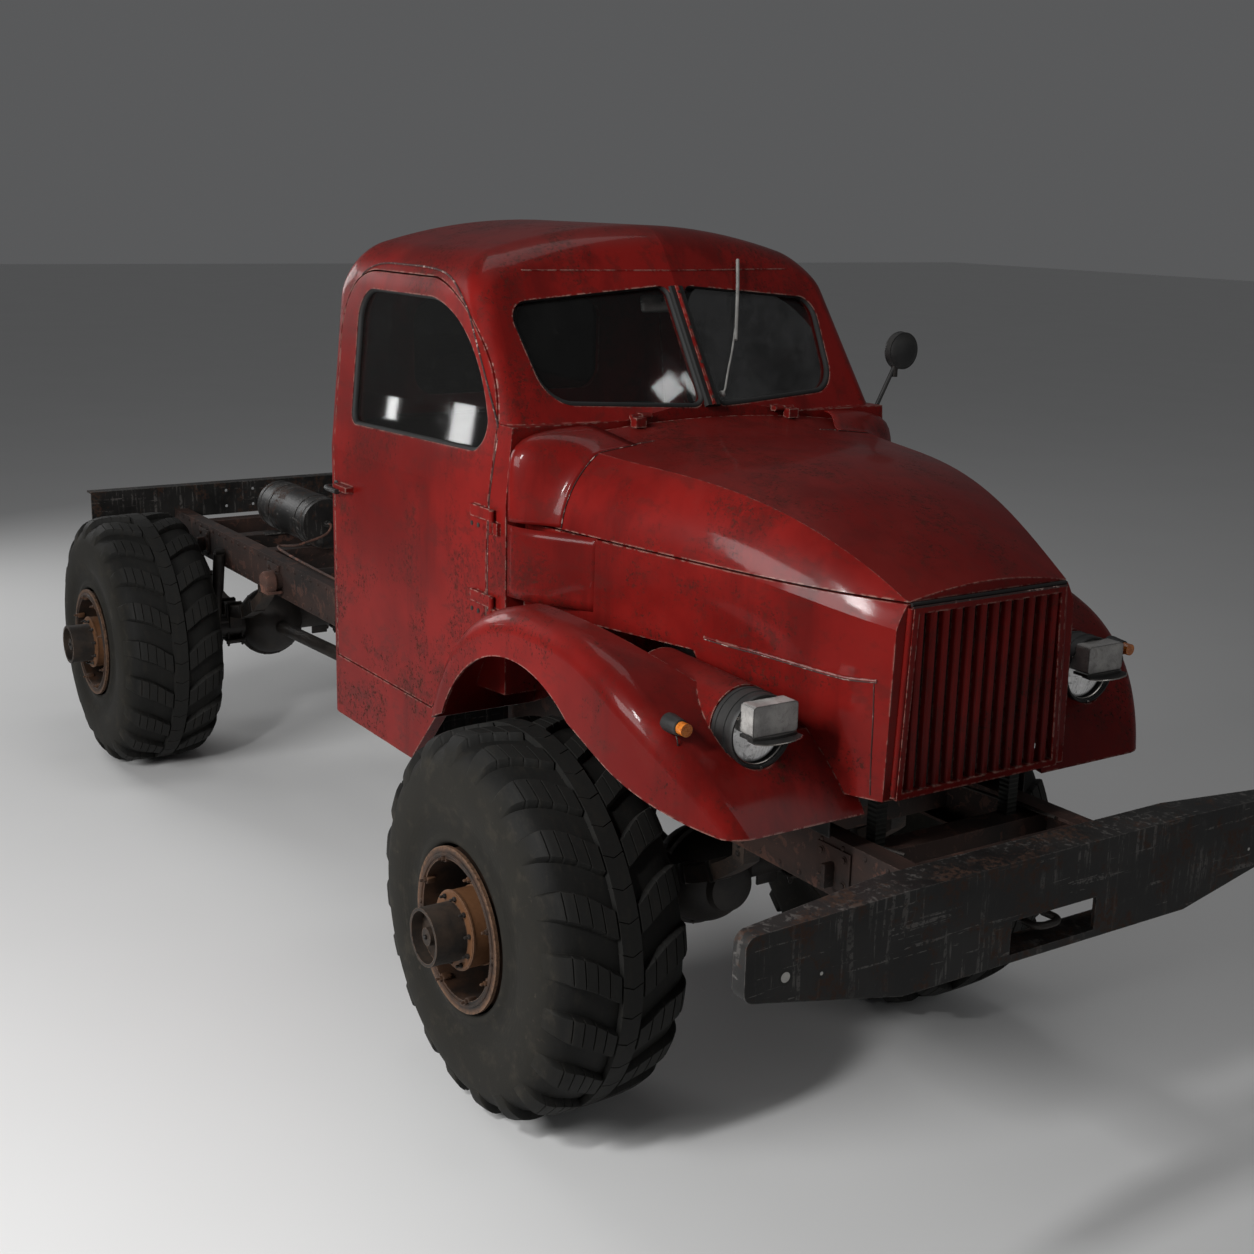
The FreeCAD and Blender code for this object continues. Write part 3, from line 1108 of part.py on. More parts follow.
def make_interior(cab_inner):
    back = "cab_rear + cab_wall"
    cushion = box("Cushion", (back + " + back_thick + fit", "0 - seat_half", "seat_low"),
                  ("seat_front", "seat_half", "seat_top"))
    rest = box("BackRest", (back + " + fit", "0 - seat_half", "seat_low"),
               (back + " + back_thick", "seat_half", "back_top"))
    dash = box("Dash", ("dash_back", "0 - dash_half", "dash_low"),
               ("cab_front - cab_wall", "dash_half", "dash_top"))
    doc.recompute()
    front, top = value("seat_front"), value("back_top")
    is_front = lambda edge: middle(edge).x > front - value("fit")
    is_high = lambda edge: middle(edge).z > top - value("fit")
    node(group("Bench", soften("CushionSoft", cushion, ("seat_round", is_front)),
               soften("RestSoft", rest, ("seat_round", is_high))), "bench_seat")
    node(soften("DashSoft", dash, ("dash_round", is_dash_edge)), "dashboard")
    tilt = FreeCAD.Rotation(Vector(0, 1, 0), -value("column_tilt"))
    place = (("x", "wheel_x"), ("y", "wheel_y"), ("z", "wheel_z"))
    column = rod("Column", "column_radius", "column_reach",
                 ("0", "0", "0 - column_reach - boss_drop - fit"), "Z")
    tilted = group("ColumnTilted", column)
    ring = doc.addObject("Part::Torus", "WheelRing")
    ring.setExpression("Radius1", bound("wheel_ring"))
    ring.setExpression("Radius2", bound("wheel_tube"))
    boss = rod("WheelBoss", "boss_radius", "boss_length", ("0", "0", "0 - boss_drop"), "Z")
    bar = rod("WheelBar", "spoke_radius", "2 * wheel_ring", ("0", "0 - wheel_ring", "0"), "Y")
    stem = rod("WheelStem", "spoke_radius", "wheel_ring", ("0 - wheel_ring", "0", "0"), "X")
    wheel = fuse("SteeringWheel", ring, boss, bar, stem)
    for item in (tilted, wheel):
        item.Placement = FreeCAD.Placement(Vector(), tilt)
        for axis, formula in place:
            item.setExpression("Placement.Base." + axis, bound(formula))
    doc.recompute()
    node(wheel, "steering_wheel")
    node(common("ColumnSeated", tilted, cab_inner), "steering_column")


def make_small_parts():
    arm = slanted_bar("MirrorArm", "arm_radius", ("mirror_x", "cab_half - mirror_sink", "mirror_foot_z"),
                      ("mirror_x", "mirror_y", "mirror_z"))
    head = rod("MirrorHead", "mirror_radius", "mirror_thick",
               ("mirror_x - mirror_thick / 2", "mirror_y", "mirror_z"),
               "X")
    node(cut("MirrorSeated", fuse("MirrorSet", arm, head), cab_outer), "side_mirror")
    foot_x = "screen_foot - screen_vee * wiper_y + wiper_rise"
    wiper = slanted_bar("Wiper", "wiper_radius", (foot_x, "wiper_y", "screen_foot_z"),
                        (foot_x + " - screen_lean * wiper_height", "wiper_y",
                         "screen_foot_z + wiper_height"))
    stud = slanted_bar("WiperStud", "wiper_radius",
                       (foot_x + " - over", "wiper_y", "screen_foot_z - 2 * sink"),
                       (foot_x, "wiper_y", "screen_foot_z + sink"))
    node(cut("WiperSeated", fuse("WiperSet", wiper, stud), cab_outer), "wiper")


def check_and_write():
    doc.recompute()
    for item in doc.Objects:
        if any(state in ("Invalid", "Error") for state in item.State):
            raise RuntimeError("failed object: " + item.Label)
    for item in NODES:
        shape = item.Shape
        if shape.isNull() or not shape.isValid() or not shape.Solids:
            raise RuntimeError("bad shape: " + item.Label)
    os.makedirs("parts", exist_ok=True)
    for item in NODES:
        item.Shape.exportStep("parts/%s.step" % item.Label)
        room = item.Shape.BoundBox
        print("%-20s %d solids  x %.0f..%.0f  y %.0f..%.0f  z %.0f..%.0f" % (
            item.Label, len(item.Shape.Solids), room.XMin, room.XMax, room.YMin, room.YMax,
            room.ZMin, room.ZMax))


make_rails()
make_members()
make_rear_beam()
make_bumper()
make_wheels()
make_front_axle()
make_knuckles()
make_rear_axle()
make_springs()
cab_outer, cab_inner = make_cab()
bonnet_outer = make_bonnet()
make_grille()
fender_outer = make_fenders(cab_outer, bonnet_outer)
make_lamps(fender_outer)
make_drive()
make_interior(cab_inner)
make_small_parts()
check_and_write()
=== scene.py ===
"""The worn red off-road truck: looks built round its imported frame."""

import json
import math

import bmesh
import bpy
from mathutils import Matrix, Vector
from mathutils.bvhtree import BVHTree


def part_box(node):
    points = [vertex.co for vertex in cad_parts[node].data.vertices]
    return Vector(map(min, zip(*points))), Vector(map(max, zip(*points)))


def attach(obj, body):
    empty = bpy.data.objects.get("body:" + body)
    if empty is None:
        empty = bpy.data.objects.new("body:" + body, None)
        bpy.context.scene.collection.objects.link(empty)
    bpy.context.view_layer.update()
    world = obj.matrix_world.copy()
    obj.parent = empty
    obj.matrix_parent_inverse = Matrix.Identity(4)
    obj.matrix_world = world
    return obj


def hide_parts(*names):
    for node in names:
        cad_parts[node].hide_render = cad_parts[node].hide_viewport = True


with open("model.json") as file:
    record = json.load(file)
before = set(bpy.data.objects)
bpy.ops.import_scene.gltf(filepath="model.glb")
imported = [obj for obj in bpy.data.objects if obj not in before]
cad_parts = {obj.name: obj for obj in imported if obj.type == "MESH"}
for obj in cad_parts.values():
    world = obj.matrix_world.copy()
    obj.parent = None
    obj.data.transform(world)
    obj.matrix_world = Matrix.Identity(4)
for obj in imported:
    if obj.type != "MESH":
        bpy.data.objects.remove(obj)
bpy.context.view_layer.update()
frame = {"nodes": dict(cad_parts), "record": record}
NODES = frame["nodes"]

FRONT = 1.656            # the front axle's place along X
REAR = FRONT - 4.12
TYRE = 0.65              # the radius of a tyre, which is also the height of the axles
AXLE_Z = TYRE
TRACK = 0.806            # from the middle line to the middle of a tyre
SPRING_Y = 0.310
SPRING_TOP, SPRING_BEND = 1.553, 0.84      # the centre height and radius of the springs' arc
LEAF = 0.0086                              # the thickness of one leaf
LAMP_Y, LAMP_Z = 0.653, 1.547              # the middle of a headlamp
CASE_Y = -0.09                             # the axles' round gear cases stand a little to the right
ENDS = (("front", FRONT), ("rear", REAR))
SIDES = (("left", 1), ("right", -1))


# Materials: arithmetic on values that vary over a surface adds the nodes for it.

class Value:
    def __init__(self, look, socket):
        self.look = look
        self.socket = socket

    def op(self, kind, other=None, swap=False):
        first, second = (other, self) if swap else (self, other)
        return self.look.add("ShaderNodeMath", {"operation": kind}, {0: first, 1: second})

    def __add__(self, other):
        return self.op("ADD", other)

    def __radd__(self, other):
        return self.op("ADD", other, True)

    def __sub__(self, other):
        return self.op("SUBTRACT", other)

    def __rsub__(self, other):
        return self.op("SUBTRACT", other, True)

    def __mul__(self, other):
        return self.op("MULTIPLY", other)

    def __truediv__(self, other):
        return self.op("DIVIDE", other)

    def high(self, other):
        return self.op("MAXIMUM", other)

    def low(self, other):
        return self.op("MINIMUM", other)

    def root(self):
        return self.op("SQRT")

    def size(self):
        return self.op("ABSOLUTE")

    def wave(self):
        return self.op("SINE")

    def fraction(self):
        return self.op("FRACT")

    def step(self, start, end, low=0.0, high=1.0):
        """A soft step: low below start, high above end."""
        return self.look.add("ShaderNodeMapRange", {"interpolation_type": "SMOOTHSTEP", "clamp": True},
                             {0: self, 1: start, 2: end, 3: low, 4: high})


class Look:
    def __init__(self, name):
        self.material = bpy.data.materials.new(name)
        self.material.use_nodes = True
        self.tree = self.material.node_tree
        self.tree.nodes.clear()
        self.place = self.add("ShaderNodeTexCoord", out="Object")
        self.x, self.y, self.z = [self.add("ShaderNodeSeparateXYZ", sockets={0: self.place}, out=axis)
                                  for axis in "XYZ"]

    def add(self, kind, settings=None, sockets=None, out=0):
        node = self.tree.nodes.new(kind)
        for key, item in (settings or {}).items():
            setattr(node, key, item)
        for key, item in (sockets or {}).items():
            if isinstance(item, Value):
                self.tree.links.new(item.socket, node.inputs[key])
            elif item is not None:
                node.inputs[key].default_value = item
        return Value(self, node.outputs[out])

    def noise(self, scale, detail=4.0, rough=0.55, stretch=(1, 1, 1), distort=0.0, shift=0.0):
        place = self.add("ShaderNodeMapping", {}, {"Vector": self.place, "Scale": stretch,
                                                   "Location": (shift, shift * 0.7, shift * 1.3)})
        return self.add("ShaderNodeTexNoise", {}, {"Vector": place, "Scale": scale, "Detail": detail,
                                                   "Roughness": rough, "Distortion": distort})

    def cells(self, scale):
        """The distance to the edge of small cells, as in grained hide."""
        return self.add("ShaderNodeTexVoronoi", {"feature": "DISTANCE_TO_EDGE"},
                        {"Vector": self.place, "Scale": scale}, out="Distance")

    def mix(self, share, first, second):
        return self.add("ShaderNodeMix", {"data_type": "RGBA"},
                        {0: share, 6: colour(first), 7: colour(second)}, out=2)

    def upness(self):
        normal = self.add("ShaderNodeNewGeometry", out="Normal")
        return self.add("ShaderNodeSeparateXYZ", sockets={0: normal}, out="Z")

    def edges(self, radius, low, high):
        """One where the surface turns sharply, as along a folded or cut edge."""
        soft = self.add("ShaderNodeBevel", {"samples": 6}, {"Radius": radius}, out="Normal")
        hard = self.add("ShaderNodeNewGeometry", out="Normal")
        same = self.add("ShaderNodeVectorMath", {"operation": "DOT_PRODUCT"}, {0: soft, 1: hard}, out="Value")
        return (1.0 - same).step(low, high)

    def bump(self, height, strength, distance, under=None):
        return self.add("ShaderNodeBump", {}, {"Height": height, "Strength": strength, "Distance": distance,
                                               "Normal": under})

    def finish(self, **sockets):
        values = {key.replace("_", " "): item for key, item in sockets.items()}
        shader = self.add("ShaderNodeBsdfPrincipled", {}, values)
        output = self.tree.nodes.new("ShaderNodeOutputMaterial")
        self.tree.links.new(shader.socket, output.inputs["Surface"])
        return self.material


def colour(item):
    if isinstance(item, tuple) and len(item) == 3:
        return (*item, 1.0)
    return item


def distance(first, second):
    """The length of a line that goes first one way, then second square to it."""
    return (first * first + second * second).root()


def along_axle(look):
    """Place along X, counted from the nearer axle."""
    return (look.x - (FRONT + REAR) / 2).size() - (FRONT - REAR) / 2


def red_paint(name, worn):
    """Faded red paint with painted shade on upward faces; worn 1 chips its edges down to pale metal, worn 0
    leaves them whole.
    """
    look = Look(name)
    cloud = look.noise(1.5, 5, 0.6, shift=3.1)
    fine = look.noise(38.0, 6, 0.65)
    streak = look.noise(6.0, 5, 0.6, stretch=(1.0, 1.0, 0.12), shift=1.7)
    specks = look.noise(85.0, 3, 0.7, shift=5.0)
    patch = look.noise(3.1, 5, 0.62, shift=8.0)
    flat = look.noise(14.0, 6, 0.7, stretch=(0.5, 1.0, 1.0), shift=11.0)
    edge = look.edges(0.010, 0.010, 0.16) * worn
    low = (2.1 - look.z).step(0.2, 1.0)
    top = look.upness().step(0.55, 0.95)
    body = look.mix(cloud.step(0.38, 0.62), (0.118, 0.0052, 0.0043), (0.190, 0.0090, 0.0072))
    body = look.mix(streak.step(0.48, 0.66) * 0.60, body, (0.078, 0.0052, 0.0044))
    body = look.mix(flat.step(0.52, 0.64) * 0.50, body, (0.085, 0.0100, 0.0080))
    # Painted shade: upward faces are made darker and greyer, as the key light falls from the side.
    body = look.mix(top * cloud.step(0.3, 0.62) * 0.55, body, (0.075, 0.0125, 0.0105))
    body = look.mix(patch.step(0.48, 0.64) * fine.step(0.42, 0.58) * 0.60, body, (0.052, 0.0065, 0.0052))
    spots = specks.step(0.590, 0.620) * patch.step(0.45, 0.58)
    flakes = fine.step(0.600, 0.630) * patch.step(0.50, 0.62)
    rust_share = spots.high(flakes) * (0.45 + low * 0.55)
    halo = specks.step(0.54, 0.60) * patch.step(0.46, 0.60) * 0.5
    body = look.mix(halo, body, (0.060, 0.010, 0.008))
    wear = edge * fine.step(0.44, 0.56)
    body = look.mix(edge * 0.35, body, (0.045, 0.010, 0.008))
    body = look.mix(wear * 0.75, body, (0.34, 0.20, 0.165))
    rust = look.mix(fine.step(0.4, 0.7), (0.012, 0.006, 0.004), (0.050, 0.018, 0.010))
    body = look.mix(rust_share, body, rust)
    dust = look.noise(9.0, 6, 0.7, shift=2.2)
    body = look.mix(dust.step(0.5, 0.8) * (0.04 + low * 0.16), body, (0.075, 0.050, 0.038))
    rough = 0.30 + cloud * 0.16 + rust_share * 0.45 + dust.step(0.5, 0.8) * 0.12 + wear * 0.2
    waves = look.noise(2.4, 2, 0.5, shift=4.0)
    normal = look.bump(waves, 0.35, 0.02)
    normal = look.bump((1.0 - rust_share) + fine * 0.10, 0.30, 0.002, normal)
    return look.finish(Base_Color=body, Roughness=rough, Normal=normal, Specular_IOR_Level=0.05,
                       Coat_Weight=0.17 - rust_share * 0.1, Coat_Roughness=0.10)


def black_paint():
    """Chipped black paint, with the pale bolts on the bumper's ends painted on."""
    look = Look("black_paint")
    cloud = look.noise(4.0, 5, 0.6)
    fine = look.noise(60.0, 6, 0.7)
    scratch = look.noise(26.0, 4, 0.6, stretch=(0.6, 0.12, 2.2), distort=0.4)
    drip = look.noise(34.0, 4, 0.62, stretch=(1.0, 1.6, 0.10), shift=3.0)
    edge = look.edges(0.008, 0.02, 0.3)
    body = look.mix(cloud.step(0.35, 0.7), (0.0085, 0.0082, 0.0080), (0.0200, 0.0190, 0.0180))
    scratches = scratch.step(0.610, 0.640) * fine.step(0.44, 0.54)
    drips = drip.step(0.545, 0.60) * cloud.step(0.4, 0.6) * fine.step(0.42, 0.52) * 0.75
    marks = scratches.high(drips).high(edge * fine.step(0.40, 0.55))
    body = look.mix(marks * 0.75, body, (0.115, 0.107, 0.100))
    rust = look.noise(7.0, 6, 0.7, shift=6.0).step(0.50, 0.60) * fine.step(0.44, 0.54)
    body = look.mix(rust * 0.75, body, (0.048, 0.023, 0.014))
    across, ahead = look.y.size(), look.x.step(3.10, 3.11)
    for y, z, radius in ((0.953, 1.103, 0.020), (0.837, 1.085, 0.011)):
        reach = distance(across - y, look.z - z)
        body = look.mix(reach.step(radius, radius + 0.004, 1.0, 0.0) * ahead, body, (0.012, 0.011, 0.010))
        body = look.mix(reach.step(radius - 0.007, radius - 0.005, 1.0, 0.0) * ahead, body,
                        look.mix(fine, (0.30, 0.29, 0.27), (0.60, 0.58, 0.55)))
    rough = 0.40 + cloud * 0.18 + rust * 0.3
    normal = look.bump(fine + marks * 0.5, 0.22, 0.002)
    return look.finish(Base_Color=body, Roughness=rough, Normal=normal, Specular_IOR_Level=0.22)


def rusty_frame(name, tint):
    look = Look(name)
    cloud = look.noise(5.0, 6, 0.65, stretch=(0.4, 1, 1))
    fine = look.noise(70.0, 6, 0.7)
    flake = look.noise(16.0, 5, 0.7, distort=0.6, shift=2.0)
    dark, brown, flaked, bare = [tuple(share * tint for share in shade) for shade in (
        (0.014, 0.0085, 0.0068), (0.044, 0.020, 0.014), (0.085, 0.036, 0.024), (0.15, 0.095, 0.075))]
    body = look.mix(cloud.step(0.35, 0.65), dark, brown)
    body = look.mix(flake.step(0.55, 0.60) * 0.8, body, flaked)
    body = look.mix(look.edges(0.008, 0.02, 0.3) * fine.step(0.4, 0.6) * 0.6, body, bare)
    normal = look.bump(fine * 0.5 + flake.step(0.54, 0.6) * 0.5, 0.4, 0.003)
    return look.finish(Base_Color=body, Roughness=0.62 + cloud * 0.25, Normal=normal, Specular_IOR_Level=0.35)


def rim_rust():
    """Rusted rims: a paler lip and barrel and a sooty hub tube, told apart by their place on the wheel."""
    look = Look("rusty_rim")
    cloud = look.noise(9.0, 6, 0.65)
    fine = look.noise(85.0, 6, 0.7)
    oil = look.noise(5.0, 5, 0.6, shift=4.0)
    reach = distance(along_axle(look), look.z - AXLE_Z)
    out = look.y.size()
    lip = reach.step(0.255, 0.272) * out.step(1.04, 1.07)
    tube = reach.step(0.099, 0.102, 1.0, 0.0) * out.step(1.078, 1.084)
    barrel = reach.step(0.130, 0.140, 1.0, 0.0) * (1.0 - tube)
    body = look.mix(cloud.step(0.35, 0.68), (0.014, 0.008, 0.005), (0.050, 0.022, 0.010))
    body = look.mix(oil.step(0.46, 0.60) * 0.75, body, (0.009, 0.007, 0.0055))
    body = look.mix(barrel * (0.45 + fine * 0.5), body, (0.165, 0.068, 0.024))
    body = look.mix(lip * fine.step(0.30, 0.60) * 0.85, body, (0.150, 0.078, 0.042))
    soot = look.mix(cloud.step(0.4, 0.7), (0.010, 0.0085, 0.007), (0.034, 0.024, 0.017))
    body = look.mix(tube * 0.85, body, soot)
    body = look.mix(look.edges(0.006, 0.02, 0.3) * fine.step(0.4, 0.55) * 0.7, body, (0.22, 0.14, 0.095))
    normal = look.bump(fine * 0.6 + cloud, 0.5, 0.003)
    return look.finish(Base_Color=body, Roughness=0.50 + fine * 0.3, Normal=normal, Specular_IOR_Level=0.4)


def grease(name, base, lift, rough, metallic=0.0):
    look = Look(name)
    cloud = look.noise(8.0, 6, 0.6)
    fine = look.noise(90.0, 5, 0.7)
    body = look.mix(cloud.step(0.35, 0.7), base, lift)
    body = look.mix(fine.step(0.60, 0.68) * 0.6, body, (0.05, 0.027, 0.017))
    body = look.mix(look.edges(0.006, 0.02, 0.3) * fine.step(0.42, 0.58) * 0.5, body, (0.10, 0.08, 0.065))
    normal = look.bump(fine + cloud, 0.35, 0.002)
    return look.finish(Base_Color=body, Roughness=rough + cloud * 0.2, Normal=normal, Metallic=metallic)


def spring_steel():
    """Dark steel with the lines between the leaves of each spring."""
    look = Look("spring_steel")
    along = along_axle(look)
    height = look.z - (SPRING_TOP - (SPRING_BEND ** 2 - along * along).high(0.2).root())
    part = (height / LEAF).fraction()
    line = (part - 0.5).size().step(0.40, 0.47) * height.step(0.001, 0.004)
    line = line * height.step(0.056, 0.060, 1.0, 0.0)
    cloud = look.noise(11.0, 6, 0.65)
    fine = look.noise(90.0, 5, 0.7)
    body = look.mix(cloud.step(0.35, 0.7), (0.013, 0.010, 0.008), (0.045, 0.028, 0.019))
    body = look.mix(fine.step(0.58, 0.66) * 0.7, body, (0.085, 0.040, 0.024))
    body = look.mix(line * 0.9, body, (0.003, 0.0025, 0.002))
    normal = look.bump(fine * 0.3 - line, 0.6, 0.003)
    return look.finish(Base_Color=body, Roughness=0.55 + cloud * 0.2, Normal=normal)


def rubber():
    """Tread and walls; a tyre's own middle is the origin of its piece."""
    look = Look("tyre_rubber")
    radius = distance(look.x, look.z)
    cloud = look.noise(5.0, 6, 0.65)
    fine = look.noise(120.0, 5, 0.7)
    smear = look.noise(12.0, 6, 0.7, stretch=(1, 3, 1), shift=3.0)
    mud = look.noise(30.0, 5, 0.7, shift=6.0)
    wall = look.y.size().step(0.215, 0.262)
    worn = radius.step(0.600, 0.640)
    body = look.mix(cloud.step(0.3, 0.7), (0.0062, 0.0062, 0.0058), (0.0105, 0.0102, 0.0092))
    body = look.mix(worn * (0.35 + fine * 0.5), body, (0.0175, 0.0172, 0.0160))
    # Walls paler and browner than the tread: partly dusty, faded rubber, partly painted light copied from the
    # lit sidewall.
    body = look.mix(wall * (0.45 + cloud * 0.5), body, (0.0195, 0.0178, 0.0138))
    body = look.mix(smear.step(0.50, 0.70) * (0.18 + wall * 0.42), body, (0.0390, 0.0330, 0.0245))
    body = look.mix(mud.step(0.62, 0.72) * (0.15 + wall * 0.45), body, (0.0540, 0.0450, 0.0330))
    rubbed = look.edges(0.005, 0.03, 0.35) * fine.step(0.35, 0.6)
    body = look.mix(rubbed * 0.45, body, (0.040, 0.037, 0.032))
    rings = (radius * 380.0).wave()
    rings = rings * radius.step(0.30, 0.34) * radius.step(0.40, 0.46, 1.0, 0.0) * wall
    normal = look.bump(fine * 0.5 + smear * 0.5 + rings * 0.12, 0.35, 0.0025)
    return look.finish(Base_Color=body, Roughness=0.58 + cloud * 0.2, Normal=normal, Specular_IOR_Level=0.16)


def glass(name, clear):
    look = Look(name)
    grime = look.noise(3.2, 6, 0.65, shift=1.0)
    fine = look.noise(40.0, 6, 0.7)
    edge = look.noise(9.0, 5, 0.7, shift=2.0)
    film = grime.step(0.48, 0.8) * 0.30 + fine.step(0.6, 0.8) * 0.05 + edge.step(0.62, 0.8) * 0.08
    film = (film + clear).low(0.97)
    body = look.mix(fine.step(0.55, 0.75), (0.006, 0.006, 0.0055), (0.022, 0.021, 0.019))
    return look.finish(Base_Color=body, Roughness=0.03 + grime.step(0.5, 0.8) * 0.10, Alpha=film,
                       Specular_IOR_Level=0.75)


def frosted():
    """Pale lamp covers with a dark frame line, and their dark bowed visor below."""
    look = Look("frosted_cover")
    cloud = look.noise(16.0, 5, 0.6)
    fine = look.noise(150.0, 4, 0.6)
    swirl = look.noise(34.0, 5, 0.7, distort=1.5, shift=4.0)
    visor = look.z.step(1.5555, 1.5570, 1.0, 0.0)
    body = look.mix(cloud.step(0.35, 0.7), (0.26, 0.25, 0.24), (0.42, 0.405, 0.385))
    body = look.mix(swirl.step(0.52, 0.66) * 0.45, body, (0.14, 0.13, 0.12))
    body = look.mix(look.edges(0.009, 0.02, 0.25) * 0.95, body, (0.006, 0.0055, 0.005))
    dark = look.mix(fine.step(0.5, 0.7), (0.020, 0.019, 0.018), (0.060, 0.056, 0.052))
    body = look.mix(visor, body, dark)
    normal = look.bump(fine + swirl, 0.6, 0.002)
    return look.finish(Base_Color=body, Roughness=0.28 + cloud * 0.25, Normal=normal, Coat_Weight=0.3)


def lens():
    look = Look("lens_glass")
    cloud = look.noise(20.0, 4, 0.6)
    swirl = look.noise(26.0, 5, 0.7, distort=1.2, shift=2.0)
    ribs = (look.y * 520.0).wave()
    reach = distance(look.y.size() - LAMP_Y, look.z - LAMP_Z)
    ring = reach.step(0.055, 0.062) * reach.step(0.066, 0.073, 1.0, 0.0)
    body = look.mix(cloud.step(0.4, 0.7), (0.72, 0.71, 0.70), (0.92, 0.91, 0.90))
    body = look.mix(swirl.step(0.52, 0.62) * 0.60, body, (0.16, 0.155, 0.150))
    body = look.mix(ring * 0.7, body, (0.75, 0.74, 0.72))
    body = look.mix(reach.step(0.082, 0.092) * 0.8, body, (0.05, 0.048, 0.045))
    normal = look.bump(ribs + cloud * 0.5, 0.35, 0.003)
    # The lens is painted pale and glows faintly: painted light and painted reflection standing in for the
    # chrome reflector behind the glass, as the lamp is off.
    return look.finish(Base_Color=body, Roughness=0.10 + cloud * 0.15, Normal=normal, Coat_Weight=0.6,
                       Emission_Color=body * 0.16, Emission_Strength=1.0)


def mirror_chrome(name, base):
    look = Look(name)
    cloud = look.noise(12.0, 5, 0.6)
    body = look.mix(cloud.step(0.4, 0.75) * 0.7, base, (0.20, 0.17, 0.14))
    return look.finish(Base_Color=body, Roughness=0.16 + cloud * 0.25, Metallic=1.0)


def amber():
    look = Look("amber_plastic")
    cloud = look.noise(60.0, 4, 0.6)
    ribs = (look.z * 900.0).wave()
    body = look.mix(cloud.step(0.35, 0.7), (0.42, 0.105, 0.008), (0.62, 0.19, 0.02))
    body = look.mix(look.edges(0.004, 0.05, 0.4) * 0.5, body, (0.10, 0.035, 0.010))
    return look.finish(Base_Color=body, Roughness=0.18 + cloud * 0.2, Coat_Weight=0.5,
                       Normal=look.bump(ribs, 0.3, 0.001))


def plastic(name, base, lift, rough=0.45):
    look = Look(name)
    cloud = look.noise(14.0, 5, 0.6)
    fine = look.noise(240.0, 3, 0.6)
    body = look.mix(cloud.step(0.35, 0.7), base, lift)
    normal = look.bump(fine, 0.2, 0.001)
    return look.finish(Base_Color=body, Roughness=rough + cloud * 0.2, Normal=normal)


def chipped_seam():
    """A dark joint line with pale chips of bare metal along it."""
    look = Look("chipped_seam")
    fine = look.noise(46.0, 5, 0.7, shift=9.0)
    patch = look.noise(5.0, 4, 0.6, shift=2.0)
    body = look.mix(patch, (0.010, 0.004, 0.003), (0.045, 0.008, 0.006))
    body = look.mix(fine.step(0.54, 0.60) * patch.step(0.42, 0.55), body, (0.42, 0.30, 0.26))
    return look.finish(Base_Color=body, Roughness=0.55 + fine * 0.2, Normal=look.bump(fine, 0.5, 0.002))


def leather():
    look = Look("seat_leather")
    cloud = look.noise(5.0, 6, 0.6)
    grain = look.cells(260.0)
    crease = look.noise(26.0, 5, 0.7, distort=1.2)
    body = look.mix(cloud.step(0.35, 0.7), (0.016, 0.011, 0.009), (0.040, 0.027, 0.020))
    body = look.mix(crease.step(0.56, 0.64) * 0.5, body, (0.070, 0.050, 0.038))
    normal = look.bump(grain.step(0.0, 0.12) + crease * 0.5, 0.35, 0.0015)
    return look.finish(Base_Color=body, Roughness=0.42 + cloud * 0.25, Normal=normal)


def fins():
    """A radiator core: fine upright fins on flat tubes."""
    look = Look("aluminium")
    cloud = look.noise(9.0, 5, 0.65)
    fold = (look.y * 1400.0).wave()
    tube = (look.z * 420.0).wave()
    body = look.mix(cloud.step(0.3, 0.7), (0.012, 0.013, 0.011), (0.034, 0.036, 0.031))
    body = look.mix(tube.step(0.5, 0.9) * 0.6, body, (0.060, 0.060, 0.052))
    return look.finish(Base_Color=body, Roughness=0.5 + cloud * 0.2, Metallic=0.4,
                       Normal=look.bump(fold + tube, 0.6, 0.003))


LOOKS = {
    "red_paint": red_paint("red_paint", 1.0), "plain_red": red_paint("plain_red", 0.0),
    "black_paint": black_paint(),
    "brown_frame": rusty_frame("brown_frame", 0.72), "pink_rust": rusty_frame("pink_rust", 2.0),
    "rusty_rim": rim_rust(), "tyre_rubber": rubber(), "clear_glass": glass("clear_glass", 0.30),
    "door_glass": glass("door_glass", 0.42), "back_glass": glass("back_glass", 0.93),
    "cast_iron": grease("cast_iron", (0.010, 0.008, 0.007), (0.032, 0.026, 0.022), 0.5),
    "dark_steel": grease("dark_steel", (0.012, 0.010, 0.009), (0.038, 0.031, 0.026), 0.45, 0.35),
    "spring_steel": spring_steel(), "aluminium": fins(),
    "nut_rust": grease("nut_rust", (0.030, 0.014, 0.007), (0.110, 0.048, 0.020), 0.55, 0.2),
    "frosted_cover": frosted(), "amber_plastic": amber(),
    "black_plastic": plastic("black_plastic", (0.008, 0.008, 0.008), (0.020, 0.019, 0.018)),
    "seat_leather": leather(), "lens_glass": lens(),
    "reflector": mirror_chrome("reflector", (0.62, 0.61, 0.58)),
    "seal": plastic("seal", (0.0022, 0.0021, 0.0020), (0.0065, 0.0060, 0.0055), 0.6),
    # A near-black look used as painted shade in the gap above the grille.
    "dark_gap": plastic("dark_gap", (0.003, 0.0025, 0.0025), (0.009, 0.005, 0.004), 0.8),
    "pale_metal": mirror_chrome("pale_metal", (0.34, 0.32, 0.30)),
    "pale_plastic": plastic("pale_plastic", (0.20, 0.195, 0.185), (0.34, 0.33, 0.31), 0.4),
    "gauge_face": plastic("gauge_face", (0.30, 0.28, 0.23), (0.42, 0.40, 0.34), 0.4),
    "chipped_seam": chipped_seam(),
}


# Mesh helpers.

